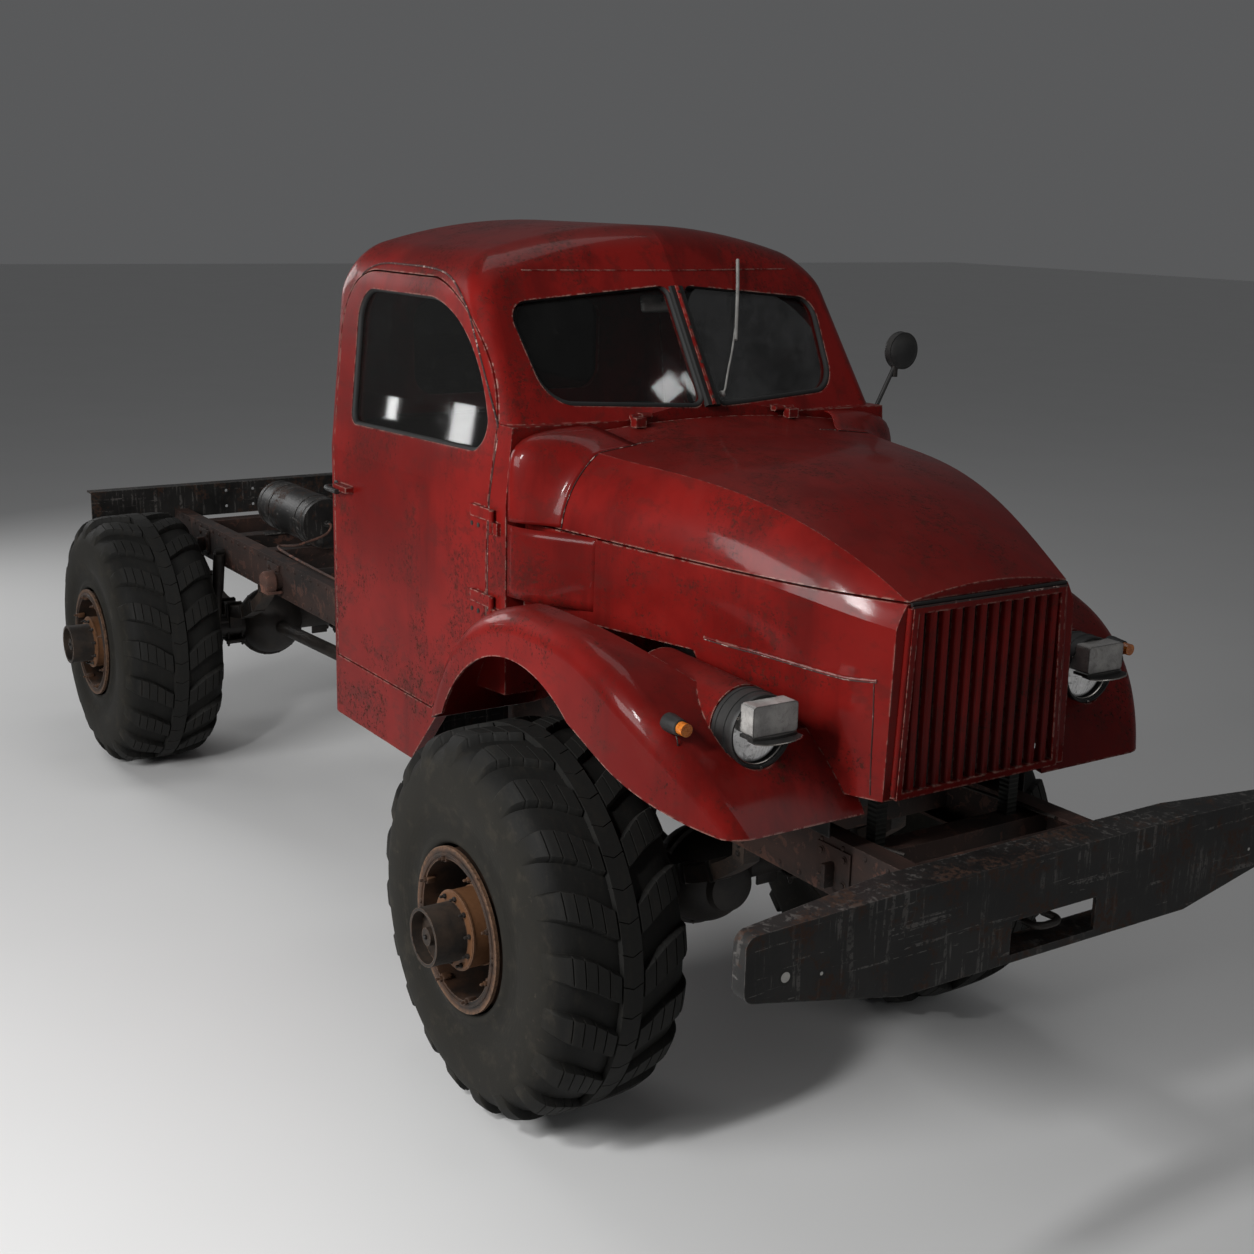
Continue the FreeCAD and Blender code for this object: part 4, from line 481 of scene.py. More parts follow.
def make(name, points, faces, look, body="chassis", slot=None, angle=35.0):
    data = bpy.data.meshes.new(name)
    data.from_pydata([tuple(point) for point in points], [], faces)
    data.validate()
    item = bpy.data.objects.new(name, data)
    bpy.context.scene.collection.objects.link(item)
    work = bmesh.new()
    work.from_mesh(data)
    bmesh.ops.remove_doubles(work, verts=work.verts, dist=1e-6)
    bmesh.ops.recalc_face_normals(work, faces=work.faces)
    work.to_mesh(data)
    work.free()
    data.polygons.foreach_set("use_smooth", [True] * len(data.polygons))
    data.set_sharp_from_angle(angle=math.radians(angle))
    data.materials.append(LOOKS[look])
    if body:
        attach(item, body)
    return item


def turns(count):
    """Even angles round a full circle."""
    return [2 * math.pi * index / count for index in range(count)]


def shares(count):
    """Even steps from nothing to one."""
    return [index / count for index in range(count + 1)]


def quads(rows, size, round_rows=False, round_ring=False):
    """Faces between neighbouring rows that have the same number of points."""
    faces = []
    for row in range(rows if round_rows else rows - 1):
        here, there = row * size, (row + 1) % rows * size
        for corner in range(size if round_ring else size - 1):
            other = (corner + 1) % size
            faces.append((here + corner, here + other, there + other, there + corner))
    return faces


def sweep(path, ring, closed=False, up=(0, 0, 1)):
    """Points and faces of a section, given across and up, carried along a path."""
    points = []
    count, size = len(path), len(ring)
    up = Vector(up)
    for index, place in enumerate(path):
        before = path[index - 1] if index or closed else path[index]
        after = path[(index + 1) % count] if index < count - 1 or closed else path[index]
        way = (Vector(after) - Vector(before)).normalized()
        side = way.cross(up)
        side = side.normalized() if side.length > 1e-6 else Vector((1, 0, 0))
        top = side.cross(way)
        points += [Vector(place) + side * across + top * rise for across, rise in ring]
    faces = quads(count, size, closed, True)
    if not closed:
        faces.append(tuple(range(size)))
        faces.append(tuple(range((count - 1) * size, count * size))[::-1])
    return points, faces


def circle(radius, steps=10, squash=1.0):
    return [(radius * math.cos(turn), radius * squash * math.sin(turn)) for turn in turns(steps)]


def upright_ring(centre, radius, count):
    """Places on a circle that faces along X."""
    return [centre + Vector((0, radius * math.cos(turn), radius * math.sin(turn))) for turn in turns(count)]


def smooth_path(corners, steps=8, closed=False):
    """A smooth curve through the corners."""
    corners = [Vector(corner) for corner in corners]
    count = len(corners)
    line = []
    for index in range(count if closed else count - 1):
        a, b, c, d = [corners[(index + shift) % count] if closed else
                      corners[min(max(index + shift, 0), count - 1)] for shift in (-1, 0, 1, 2)]
        for step in range(steps):
            t = step / steps
            line.append(0.5 * ((2 * b) + (c - a) * t + (2 * a - 5 * b + 4 * c - d) * t * t
                               + (3 * b - a - 3 * c + d) * t * t * t))
    if not closed:
        line.append(corners[-1])
    return line


def rod(name, path, radius, look, body="chassis", closed=False, steps=10):
    return make(name, *sweep(path, circle(radius, steps), closed), look, body)


def lathe(profile, steps, centre=(0, 0, 0), axis="Y"):
    """Points and faces of a profile of (along, radius) turned about an axis line."""
    points = []
    for turn in turns(steps):
        c, s = math.cos(turn), math.sin(turn)
        for along, radius in profile:
            spot = {"Y": (radius * c, along, radius * s), "X": (along, radius * c, radius * s),
                    "Z": (radius * c, radius * s, along)}[axis]
            points.append(Vector(centre) + Vector(spot))
    return points, quads(steps, len(profile), True)


def join(parts):
    points, faces = [], []
    for some_points, some_faces in parts:
        base = len(points)
        points += some_points
        faces += [tuple(base + corner for corner in face) for face in some_faces]
    return points, faces


def block(low, high, round_=0.0, segments=2):
    """A box with rounded edges."""
    work = bmesh.new()
    bmesh.ops.create_cube(work, size=1.0)
    low, high = Vector(low), Vector(high)
    for vert in work.verts:
        vert.co = Vector([low[axis] + (vert.co[axis] + 0.5) * (high[axis] - low[axis]) for axis in range(3)])
    if round_:
        bmesh.ops.bevel(work, geom=work.edges[:], offset=round_, segments=segments, profile=0.5,
                        affect="EDGES")
    work.verts.index_update()
    points = [vert.co.copy() for vert in work.verts]
    faces = [tuple(vert.index for vert in face.verts) for face in work.faces]
    work.free()
    return points, faces


def moved(part, matrix):
    return [matrix @ point for point in part[0]], part[1]


def bolt(radius, height):
    """A six-sided head on a washer, standing along +Z."""
    washer = lathe(((0.0, radius * 1.35), (0.0025, radius * 1.35), (0.0025, 0.0)), 12, axis="Z")
    head = ((0.0, radius), (height * 0.85, radius), (height, radius * 0.85), (height, 0.0))
    return join((washer, lathe(head, 6, axis="Z")))


def aim(place, direction):
    """A matrix that puts +Z along a direction at a place."""
    turn = Vector((0, 0, 1)).rotation_difference(Vector(direction))
    return Matrix.Translation(Vector(place)) @ turn.to_matrix().to_4x4()


def bolts(name, places, look, body, radius, height):
    part = bolt(radius, height)
    made = join([moved(part, aim(place, way)) for place, way in places])
    return make(name, *made, look, body)


def both(points):
    return [Vector((point[0], -point[1], point[2])) for point in points]


def mirrored(made, out):
    return (both(made[0]), made[1]) if out < 0 else made


def dome(radius, height):
    """A round rivet head standing along +Z."""
    return lathe([(height * math.sin(turn), radius * math.cos(turn))
                  for turn in [math.pi / 2 * share for share in shares(3)]], 9, axis="Z")


def applied(item):
    """The piece's modifiers worked into its mesh."""
    graph = bpy.context.evaluated_depsgraph_get()
    data = bpy.data.meshes.new_from_object(item.evaluated_get(graph))
    item.modifiers.clear()
    old = item.data
    item.data = data
    bpy.data.meshes.remove(old)


def sheet(name, rows, thick, look, body="chassis"):
    """A sheet through rows of points."""
    points = [point for row in rows for point in row]
    item = make(name, points, quads(len(rows), len(rows[0])), look, None, angle=60)
    solid = item.modifiers.new("thick", "SOLIDIFY")
    solid.thickness = thick
    solid.offset = 0.0
    applied(item)
    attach(item, body)


# Camera at the photo's angle: set first, because some trim is placed along its lines of sight.

YAW, PITCH, ROLL = 0.5819, 0.2504, 0.0232
FOCAL, HALF_FRAME = 1684.4, 627.0
EYE = Vector((6.1649, -3.4014, 2.968))
AHEAD = Vector((-math.cos(PITCH) * math.cos(YAW), math.cos(PITCH) * math.sin(YAW), -math.sin(PITCH)))
LEVEL = AHEAD.cross(Vector((0, 0, 1))).normalized()
UPRIGHT = LEVEL.cross(AHEAD)
ACROSS = LEVEL * math.cos(ROLL) + UPRIGHT * math.sin(ROLL)
UPWARD = UPRIGHT * math.cos(ROLL) - LEVEL * math.sin(ROLL)


def make_camera():
    data = bpy.data.cameras.new("camera")
    data.lens = FOCAL / (2 * HALF_FRAME) * 36
    data.sensor_width = 36
    item = bpy.data.objects.new("camera", data)
    turn = Matrix((ACROSS, UPWARD, -AHEAD)).transposed().to_4x4()
    item.matrix_world = Matrix.Translation(EYE) @ turn
    bpy.context.scene.collection.objects.link(item)
    bpy.context.scene.camera = item


def sight(across, down):
    """The way of the line of sight through a place of the picture."""
    return (AHEAD * FOCAL + ACROSS * (across - HALF_FRAME) - UPWARD * (down - HALF_FRAME)).normalized()


# Places on the solids.

class Skin:
    """A search tree over the faces of some nodes."""

    def __init__(self, *names):
        points, faces = [], []
        for name in names:
            item = NODES[name]
            base = len(points)
            points += [item.matrix_world @ vert.co for vert in item.data.vertices]
            faces += [tuple(base + corner for corner in face.vertices) for face in item.data.polygons]
        self.tree = BVHTree.FromPolygons(points, faces)

    def cast(self, start, way):
        spot, normal = self.tree.ray_cast(Vector(start), Vector(way))[:2]
        if spot and normal.dot(Vector(way)) > 0:
            normal = -normal
        return spot, normal

    def pin(self, across, down):
        return self.cast(EYE, sight(across, down))


def laid(skin, places, lift=0.0, steps=6):
    """A line that lies on the solids, through places of the picture."""
    line = smooth_path([(across, down, 0) for across, down in places], steps)
    return lifted([skin.pin(place.x, place.y) for place in line], lift)


def lifted(found, lift):
    """The places where a line of sight or a cast met a solid, moved off it by the lift."""
    return [spot + normal * lift for spot, normal in found if spot]


def dropped(skin, places, way, lift=0.0):
    """Points cast onto the solids along one way."""
    return lifted([skin.cast(place, way) for place in places], lift)


def panes(name, out):
    """The outline of each pane of a node on its outer side, with the way that it faces."""
    out = Vector(out).normalized()
    work = bmesh.new()
    work.from_mesh(NODES[name].data)
    work.transform(NODES[name].matrix_world)
    bmesh.ops.remove_doubles(work, verts=work.verts, dist=1e-5)
    work.verts.index_update()
    picked = {face for face in work.faces if face.normal.dot(out) > 0.55}
    border = [edge for edge in work.edges if sum(face in picked for face in edge.link_faces) == 1]
    beside = {}
    for edge in border:
        first, second = [vert.index for vert in edge.verts]
        beside.setdefault(first, []).append(second)
        beside.setdefault(second, []).append(first)
    places = {vert.index: vert.co.copy() for vert in work.verts}
    work.free()
    waiting = set(beside)
    found = []
    for start in sorted(beside):
        if start not in waiting:
            continue
        loop = [start]
        waiting.discard(start)
        while True:
            onward = sorted(other for other in beside[loop[-1]] if other in waiting)
            if not onward:
                break
            waiting.discard(onward[0])
            loop.append(onward[0])
        line = [places[index] for index in loop]
        normal = Vector((0, 0, 0))
        for index, place in enumerate(line):
            normal += place.cross(line[(index + 1) % len(line)])
        normal.normalize()
        if normal.dot(out) < 0:
            normal, line = -normal, line[::-1]
        found.append((line, normal))
    return found


# Tyres: a round casing, a centre rib and two rows of lugs that meet it like open Vs.

# Radius against distance from the tyre's middle: over the lugs, of the casing between them, and of the wall.
CROWN = [(0.000, 0.6490), (0.036, 0.6485), (0.080, 0.6478), (0.130, 0.6455), (0.165, 0.6415), (0.190, 0.6350),
         (0.207, 0.6260), (0.226, 0.6060), (0.242, 0.5800), (0.252, 0.5530)]
CASING = [(0.000, 0.6230), (0.050, 0.6225), (0.100, 0.6205), (0.150, 0.6150), (0.185, 0.6060), (0.208, 0.5935),
          (0.228, 0.5760), (0.243, 0.5560), (0.252, 0.5380)]
WALL = [(0.2575, 0.5180), (0.2610, 0.4900), (0.2625, 0.4600), (0.2610, 0.4300), (0.2565, 0.4000),
        (0.2505, 0.3750), (0.2465, 0.3500), (0.2465, 0.3250), (0.2525, 0.3080), (0.2545, 0.2960),
        (0.2500, 0.2850), (0.2420, 0.2790)]
# How far a lug lags behind round the tyre, against distance from its middle.
LAG = [(0.036, 0.0), (0.130, 0.068), (0.205, 0.100), (0.252, 0.112)]
LUGS = 20
SIPES = (0.083, 0.123, 0.163, 0.198)       # where narrow cuts cross each lug


def read_off(curve, across):
    """The height of a curve of (across, height) at a distance across."""
    for (low, first), (high, second) in zip(curve, curve[1:]):
        if across <= high:
            return first + (second - first) * max(across - low, 0.0) / (high - low)
    return curve[-1][1]


def smooth_lag(across):
    return (read_off(LAG, across - 0.018) + read_off(LAG, across) + read_off(LAG, across + 0.018)) / 3


def lug_part(turn, side):
    """One lug from beside the centre rib to the shoulder, cut across by narrow sipes."""
    stations = [0.043 + 0.209 * share for share in shares(30)]
    rows = [(across, 0.0) for across in stations if all(abs(across - sipe) > 0.0042 for sipe in SIPES)]
    for sipe in SIPES:
        rows += [(sipe - 0.0026, 0.0), (sipe - 0.0014, 1.0), (sipe + 0.0014, 1.0), (sipe + 0.0026, 0.0)]
    rows.sort()
    points = []
    for across, cut in rows:
        fade = 1.0 - max((across - 0.236) / 0.016, 0.0) ** 2 * 0.6
        low = read_off(CASING, across) - 0.006
        high = low + (read_off(CROWN, across) - low) * fade - cut * 0.007
        half = 0.0445 + 0.004 * math.sin((across - 0.04) * 14) - 0.006 * max((across - 0.20) / 0.05, 0.0)
        ring = ((-half - 0.008, 0.0), (-half - 0.002, 0.72), (-half + 0.003, 1.0), (-half / 3, 1.0),
                (half / 3, 1.0), (half - 0.003, 1.0), (half + 0.002, 0.72), (half + 0.008, 0.0))
        for offset, level in ring:
            radius = low + (high - low) * level
            angle = turn + (smooth_lag(across) + offset) / TYRE
            points.append(Vector((radius * math.cos(angle), side * across, radius * math.sin(angle))))
    size = len(ring)
    faces = quads(len(rows), size)
    faces.append(tuple(range(size)))
    faces.append(tuple(range((len(rows) - 1) * size, len(rows) * size)))
    return points, faces


def rib_part():
    """The centre rib, with a narrow open V cut twice for each lug."""
    points = []
    across = (-0.0365, -0.0350, -0.0180, 0.0, 0.0180, 0.0350, 0.0365)
    span = math.pi / LUGS
    cuts = ((0.0, 1.0), (0.022, 0.0), (0.5, 0.0), (0.978, 0.0), (0.992, 1.0))
    steps = [(base + span * share, cut) for base in turns(LUGS * 2) for share, cut in cuts]
    for angle, cut in steps:
        for place in across:
            lag = abs(place) * 0.42 / TYRE
            high = 0.6488 - cut * 0.006 - (0.022 if abs(place) > 0.036 else 0.0)
            points.append(Vector((high * math.cos(angle + lag), place, high * math.sin(angle + lag))))
    return points, quads(len(steps), len(across), True)


def tyre_mesh():
    half = smooth_path([(across, height, 0) for across, height in CASING + WALL], 3)
    profile = [(-point[0], point[1]) for point in half[::-1]] + [(point[0], point[1]) for point in half[1:]]
    parts = [lathe(profile, 160), rib_part()]
    for turn in turns(LUGS):
        parts += [lug_part(turn, 1), lug_part(turn, -1)]
    return join(parts)


WHEELS = [(end, side, x, TRACK * out) for end, x in ENDS for side, out in SIDES]


def make_tyres():
    shared = make("tread_master", *tyre_mesh(), "tyre_rubber", None, angle=30)
    for end, side, x, y in WHEELS:
        tail = "%s_%s" % (end, side)
        item = bpy.data.objects.new("tread_" + tail, shared.data)
        bpy.context.scene.collection.objects.link(item)
        item.location = (x, y, AXLE_Z)
        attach(item, "wheel_" + tail)
        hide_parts("tyre_" + tail)
    bpy.data.objects.remove(shared)


# Wheels: nuts, clamps and the hub's inner fittings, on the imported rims.

def around(count, radius, along, start=0.0):
    """Places round an axle line that runs along Y."""
    return [Vector((radius * math.cos(turn), along, radius * math.sin(turn)))
            for turn in [start + part for part in turns(count)]]


def ridge(along, radius, height, foot, top, steps, centre, axis):
    """A flat band round a turned part, wider at its foot than at its top."""
    profile = ((along - foot, radius), (along - top, radius + height), (along + top, radius + height),
               (along + foot, radius))
    return lathe(profile, steps, centre, axis)


def nut(radius, height, stud=0.010):
    """A six-sided nut with the end of its stud, standing along +Z."""
    body = ((0.0, radius), (height * 0.8, radius), (height, radius * 0.86), (height, stud))
    end = ((height - 0.002, stud), (height + 0.010, stud), (height + 0.013, stud * 0.6), (height + 0.013, 0.0))
    return join((lathe(body, 6, axis="Z"), lathe(end, 8, axis="Z")))


def make_wheel_fittings():
    for end, side, x, y in WHEELS:
        out = 1 if y > 0 else -1
        tail = "%s_%s" % (end, side)
        body = "wheel_" + tail
        centre = Vector((x, y, AXLE_Z))
        nuts = [moved(nut(0.016, 0.017), aim(centre + place, (0, out, 0)))
                for place in around(10, 0.172, 0.0765 * out)]
        make("wheel_nuts_" + tail, *join(nuts), "nut_rust", body)
        flange = [moved(nut(0.0085, 0.009, 0.005), aim(centre + place, (0, out, 0)))
                  for place in around(10, 0.1145, 0.2742 * out, 0.2)]
        make("hub_bolts_" + tail, *join(flange), "dark_steel", body)
        clamps = []
        start = 0.35
        for place, turn in zip(around(8, 0.2335, 0.2520 * out, start), turns(8)):
            lug = block((-0.012, -0.016, -0.013), (0.012, 0.016, 0.013), 0.004)
            stand = Matrix.Translation(centre + place) @ Matrix.Rotation(-start - turn, 4, "Y")
            head = aim(centre + place + Vector((0, 0.016 * out, 0)), (0, out, 0))
            clamps += [moved(lug, stand), moved(nut(0.009, 0.010, 0.005), head)]
        make("rim_clamps_" + tail, *join(clamps), "nut_rust", body)
        lip = [centre + place for place in around(72, 0.2480, 0.2665 * out)]
        rod("lock_ring_" + tail, lip, 0.0068, "rusty_rim", body, closed=True, steps=8)
        cap = [moved(nut(0.019, 0.009, 0.008), aim(centre + Vector((0, 0.3610 * out, 0)), (0, out, 0)))]
        cap += [moved(bolt(0.009, 0.008), aim(centre + place, (0, out, 0)))
                for place in around(4, 0.062, 0.3425 * out, 0.3)]
        make("hub_end_" + tail, *join(cap), "dark_steel", body)
        stem = [centre + Vector((x, y * out, z)) for x, y, z in (
            (0.205, 0.078, 0.0), (0.207, 0.105, 0.002), (0.214, 0.128, 0.004))]
        rod("valve_" + tail, smooth_path(stem, 4), 0.0042, "dark_steel", body, steps=8)
        bands = [ridge(along * out, 0.1300, 0.0035, 0.004, 0.003, 48, centre, "Y")
                 for along in (0.100, 0.185, 0.268)]
        make("barrel_bands_" + tail, *join(bands), "rusty_rim", body)


# Each node shows its slot's look, or the one given here.
SLOTS = {part["node"]: part["material_slot"] for part in frame["record"]["subparts"]}
OTHER_LOOKS = {"headlamp_lenses": "lens_glass", "leaf_springs": "spring_steel", "rear_glass": "back_glass",
               "door_glass_left": "door_glass", "door_glass_right": "door_glass", "wiper": "pale_metal"}
for name, item in NODES.items():
    item.data.materials.clear()
    item.data.materials.append(LOOKS[OTHER_LOOKS.get(name, SLOTS[name])])

make_camera()
make_tyres()
make_wheel_fittings()


# Seals round the panes, the screen's centre bar, mirrors and visors.

SEAL = ((-0.011, 0.0), (-0.011, 0.006), (-0.007, 0.0135), (-0.001, 0.0165), (0.005, 0.0160), (0.008, 0.0135),
        (0.008, 0.0095), (0.003, 0.0085), (0.001, 0.0))


def make_seals():
    for node, out, body in (("windscreen_glass", (1, 0, 0.6), "chassis"),
                            ("rear_glass", (-1, 0, 0), "chassis"),
                            ("door_glass_left", (0, 1, 0.1), "door_left"),
                            ("door_glass_right", (0, -1, 0.1), "door_right")):
        parts = [sweep(line, SEAL, closed=True, up=normal) for line, normal in panes(node, out)]
        make("%s_seal" % node, *join(parts), "seal", body, angle=50)


def make_centre_bar():
    foot, head = Vector((1.5035, 0, 2.283)), Vector((1.2530, 0, 2.668))
    out = Vector((0.838, 0, 0.546))
    strip = ((-0.030, -0.012), (-0.030, -0.001), (-0.024, 0.004), (0.024, 0.004), (0.030, -0.001),
             (0.030, -0.012))
    make("centre_bar_rubber", *sweep([foot, head], strip, up=out), "seal")
    rib = ((-0.008, 0.0), (-0.007, 0.008), (0.0, 0.011), (0.007, 0.008), (0.008, 0.0))
    make("centre_bar_rib", *sweep([foot, head], rib, up=out), "red_paint")
    screws = [(foot.lerp(head, share) + out * 0.0095, out) for share in (0.06, 0.35, 0.64, 0.94)]
    bolts("centre_bar_screws", screws, "dark_steel", "chassis", 0.0045, 0.003)


def make_mirrors():
    glass_part = block((-0.009, -0.085, -0.030), (0.009, 0.085, 0.030), 0.012, 3)
    turn = Matrix.Translation((1.165, 0.0, 2.603)) @ Matrix.Rotation(math.radians(-12), 4, "Y")
    make("inside_mirror", *moved(glass_part, turn), "pale_plastic")
    stem = smooth_path([(1.170, 0, 2.612), (1.195, 0, 2.650), (1.200, 0, 2.685)], 4)
    rod("inside_mirror_stem", stem, 0.005, "dark_steel")
    for side, out in SIDES:
        flap = block((-0.075, -0.17, -0.006), (0.075, 0.17, 0.006), 0.005, 3)
        turn = Matrix.Translation((1.080, 0.34 * out, 2.690)) @ Matrix.Rotation(math.radians(24), 4, "Y")
        make("visor_%s" % side, *moved(flap, turn), "seat_leather")
    low, high = [Vector(corner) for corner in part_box("side_mirror")]
    place = Vector(((low.x + high.x) / 2, 0.905, 2.435))
    ring = upright_ring(place + Vector((-0.014, 0, 0)), 0.0665, 48)
    rod("mirror_rim", ring, 0.0035, "black_plastic", closed=True, steps=8)
    face = ((-0.0150, 0.064), (-0.0158, 0.060), (-0.0160, 0.0))
    make("mirror_face", *lathe(face, 48, place, "X"), "reflector")
    back = ((0.0125, 0.064), (0.020, 0.056), (0.026, 0.038), (0.029, 0.018), (0.030, 0.0))
    make("mirror_back", *lathe(back, 48, place, "X"), "black_plastic")
    collar = lathe(((-0.020, 0.0125), (0.020, 0.0125)), 16, place - Vector((0.0, 0.030, 0.075)), "Z")
    make("mirror_collar", *collar, "dark_steel")


# Wiper and lamps.

def make_wiper():
    """The thin pale wiper stands nearly upright on the left pane."""
    skin = Skin("windscreen_glass", "cab_shell")
    blade = laid(skin, ((735, 262), (735, 290), (734, 318), (733, 342)), 0.016, 4)
    arm = laid(skin, ((733, 330), (730, 352), (726, 372), (723, 390)), 0.013, 4)
    parts = [sweep(blade, circle(0.0062, 8)), sweep(arm, circle(0.0036, 8))]
    spot, normal = skin.pin(722, 394)
    parts.append(moved(dome(0.013, 0.012), aim(spot, normal)))
    parts.append(sweep([arm[-1], spot + normal * 0.008], circle(0.0032, 8)))
    item = make("wiper_blade", *join(parts), "pale_plastic")
    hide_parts("wiper")


def make_lamps():
    for side, out in SIDES:
        centre = Vector((0, LAMP_Y * out, LAMP_Z))
        bezel = ((2.660, 0.1075), (2.6735, 0.1085), (2.6785, 0.1060), (2.6785, 0.1015), (2.6740, 0.0985),
                 (2.6600, 0.0980))
        make("bezel_%s" % side, *lathe(bezel, 64, centre, "X"), "black_plastic")
        trim = upright_ring(centre + Vector((2.6640, 0, 0)), 0.0955, 64)
        rod("lamp_trim_%s" % side, trim, 0.0022, "pale_metal", closed=True, steps=6)
        bands = [ridge(along, 0.1068, 0.0030, 0.0035, 0.002, 64, centre, "X") for along in (2.600, 2.640)]
        make("bucket_bands_%s" % side, *join(bands), "black_plastic")
        corner = [Vector(spot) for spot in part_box("headlamp_covers")]
        root = Vector((corner[1].x - 0.030, LAMP_Y * out, corner[0].z + 0.002))
        outline = ((0.0, -0.082, 0.0), (0.034, -0.083, 0.001), (0.052, -0.060, 0.002), (0.060, -0.020, 0.003),
                   (0.060, 0.020, 0.003), (0.052, 0.060, 0.002), (0.034, 0.083, 0.001), (0.0, 0.082, 0.0))
        top = [root + Vector((ahead, across, -drop)) for ahead, across, drop in outline]
        low = [point - Vector((0, 0, 0.0035)) for point in top]
        size = len(outline)
        faces = [tuple(range(size)), tuple(range(2 * size - 1, size - 1, -1))] + quads(2, size, False, True)
        make("cover_visor_%s" % side, top + low, faces, "black_plastic")
        edge = [point - Vector((-0.001, 0, 0.0017)) for point in top[1:-1]]
        rod("visor_edge_%s" % side, edge, 0.0022, "pale_metal", steps=6)
        screws = [(centre + Vector((2.6785, 0.1035 * math.cos(turn), 0.1035 * math.sin(turn))), (1, 0, 0))
                  for turn in (0.5, 2.6, 4.71)]
        bolts("bezel_screws_%s" % side, screws, "pale_metal", "chassis", 0.0032, 0.0025)
        root = Vector((0, 0.880 * out, 1.575))
        base = ((2.548, 0.0), (2.548, 0.0275), (2.560, 0.0285), (2.590, 0.0250), (2.6085, 0.0235),
                (2.6110, 0.0205), (2.6110, 0.0))
        make("signal_base_%s" % side, *lathe(base, 32, root, "X"), "black_plastic")
        loop = [(2.590, 0.884, 1.556), (2.604, 0.887, 1.541), (2.603, 0.884, 1.521), (2.588, 0.880, 1.512),
                (2.572, 0.876, 1.520), (2.562, 0.872, 1.538)]
        clip = smooth_path([(x, y * out, z) for x, y, z in loop], 5)
        rod("signal_clip_%s" % side, clip, 0.0022, "dark_steel", steps=6)


# Seams, beads and folds on the sheet metal.

def pair(line):
    """A line on the right side, and the same on the left."""
    return ("right", line), ("left", both(line))


def make_seams():
    sides = Skin("bonnet_sides")
    bead = laid(sides, ((704, 637), (730, 645), (760, 653), (800, 665), (843, 677), (877, 681)))
    for side, line in pair(bead):
        rod("side_bead_%s" % side, line, 0.0042, "red_paint", steps=8)
        under = [point - Vector((0, 0, 0.006)) for point in line]
        rod("side_bead_seam_%s" % side, under, 0.0018, "chipped_seam", steps=6)
    for side, line in pair(laid(sides, ((874, 684), (873, 720), (871, 760), (870, 795)))):
        rod("nose_fold_%s" % side, line, 0.0022, "chipped_seam", steps=6)
    seam = laid(Skin("hood"), ((655, 441), (625, 446), (592, 452), (566, 466), (555, 483), (550, 500)))
    for side, line in pair(seam):
        rod("lid_seam_%s" % side, line, 0.0020, "chipped_seam", "hood", steps=6)
    shell = Skin("cab_shell")
    rail = smooth_path([(0.120, 0, 2.450), (0.165, 0, 2.560), (0.250, 0, 2.655), (0.370, 0, 2.705),
                        (0.600, 0, 2.713), (0.856, 0, 2.706), (1.010, 0, 2.668), (1.130, 0, 2.585),
                        (1.235, 0, 2.470), (1.330, 0, 2.340), (1.395, 0, 2.235)], 8)
    for side, out in SIDES:
        line = dropped(shell, [Vector((point.x, 1.3 * out, point.z)) for point in rail], (0, -out, 0), 0.0005)
        rod("gutter_%s" % side, line, 0.0038, "chipped_seam", steps=8)
    for name, x, half, z, way, radius in (("screen_brow", 1.75, 0.56, 2.720, -1, 0.0030),
                                          ("back_bead", -0.3, 0.70, 1.985, 1, 0.0060),
                                          ("back_low_bead", -0.3, 0.70, 1.300, 1, 0.0060)):
        line = [Vector((x, half * (2 * share - 1), z)) for share in shares(20)]
        rod(name, dropped(shell, line, (way, 0, 0)), radius, "red_paint", steps=8)


def make_nose_trim():
    front, top = [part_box("grille")[1][axis] for axis in (0, 2)]
    # A near-black rod along the top of the grille: painted shade in the gap under the bonnet's front lip.
    gap = [Vector((front - 0.010, -0.300 + 0.03 * index, top + 0.006)) for index in range(21)]
    rod("nose_gap_shade", gap, 0.0065, "dark_gap", steps=8)
    lip = [Vector((front - 0.002, point.y, top - 0.001)) for point in gap]
    rod("nose_lip", lip, 0.0032, "chipped_seam", steps=8)
    sill = [Vector((front - 0.004, -0.316 + 0.0316 * index, 1.349)) for index in range(21)]
    rod("nose_sill", sill, 0.0042, "red_paint", steps=8)
    for side, out in SIDES:
        column = [Vector((front - 0.013, (0.3215 - 0.022 * share) * out, 1.352 + 0.545 * share))
                  for share in shares(12)]
        rod("nose_column_%s" % side, column, 0.0105, "red_paint", steps=12)


# Handles and hinges.

def make_door_trim():
    for side, out in SIDES:
        body = "door_%s" % side
        bend = ((0.122, 0.806, 1.850), (0.126, 0.832, 1.851), (0.150, 0.8445, 1.851), (0.190, 0.8450, 1.850),
                (0.236, 0.8415, 1.848))
        bar = smooth_path([(x, y * out, z) for x, y, z in bend], 6)
        make("handle_%s" % side, *sweep(bar, circle(0.0125, 12, 0.8)), "black_plastic", body)
        rose = lathe(((0.0, 0.026), (0.004, 0.025), (0.007, 0.018), (0.007, 0.0)), 32)
        turn = Matrix.Rotation(0 if out > 0 else math.pi, 4, "Z")
        turn = Matrix.Translation((0.140, 0.7995 * out, 1.850)) @ turn
        make("handle_rose_%s" % side, *moved(rose, turn), "dark_steel", body)
        heads = [(Vector((x, 0.8235 * out, z)), (0, out, 0)) for z in (1.620, 1.910) for x in (1.300, 1.345)]
        bolts("hinge_screws_%s" % side, heads, "dark_steel", body, 0.0060, 0.0030)


# Bumper, frame, springs and tank.

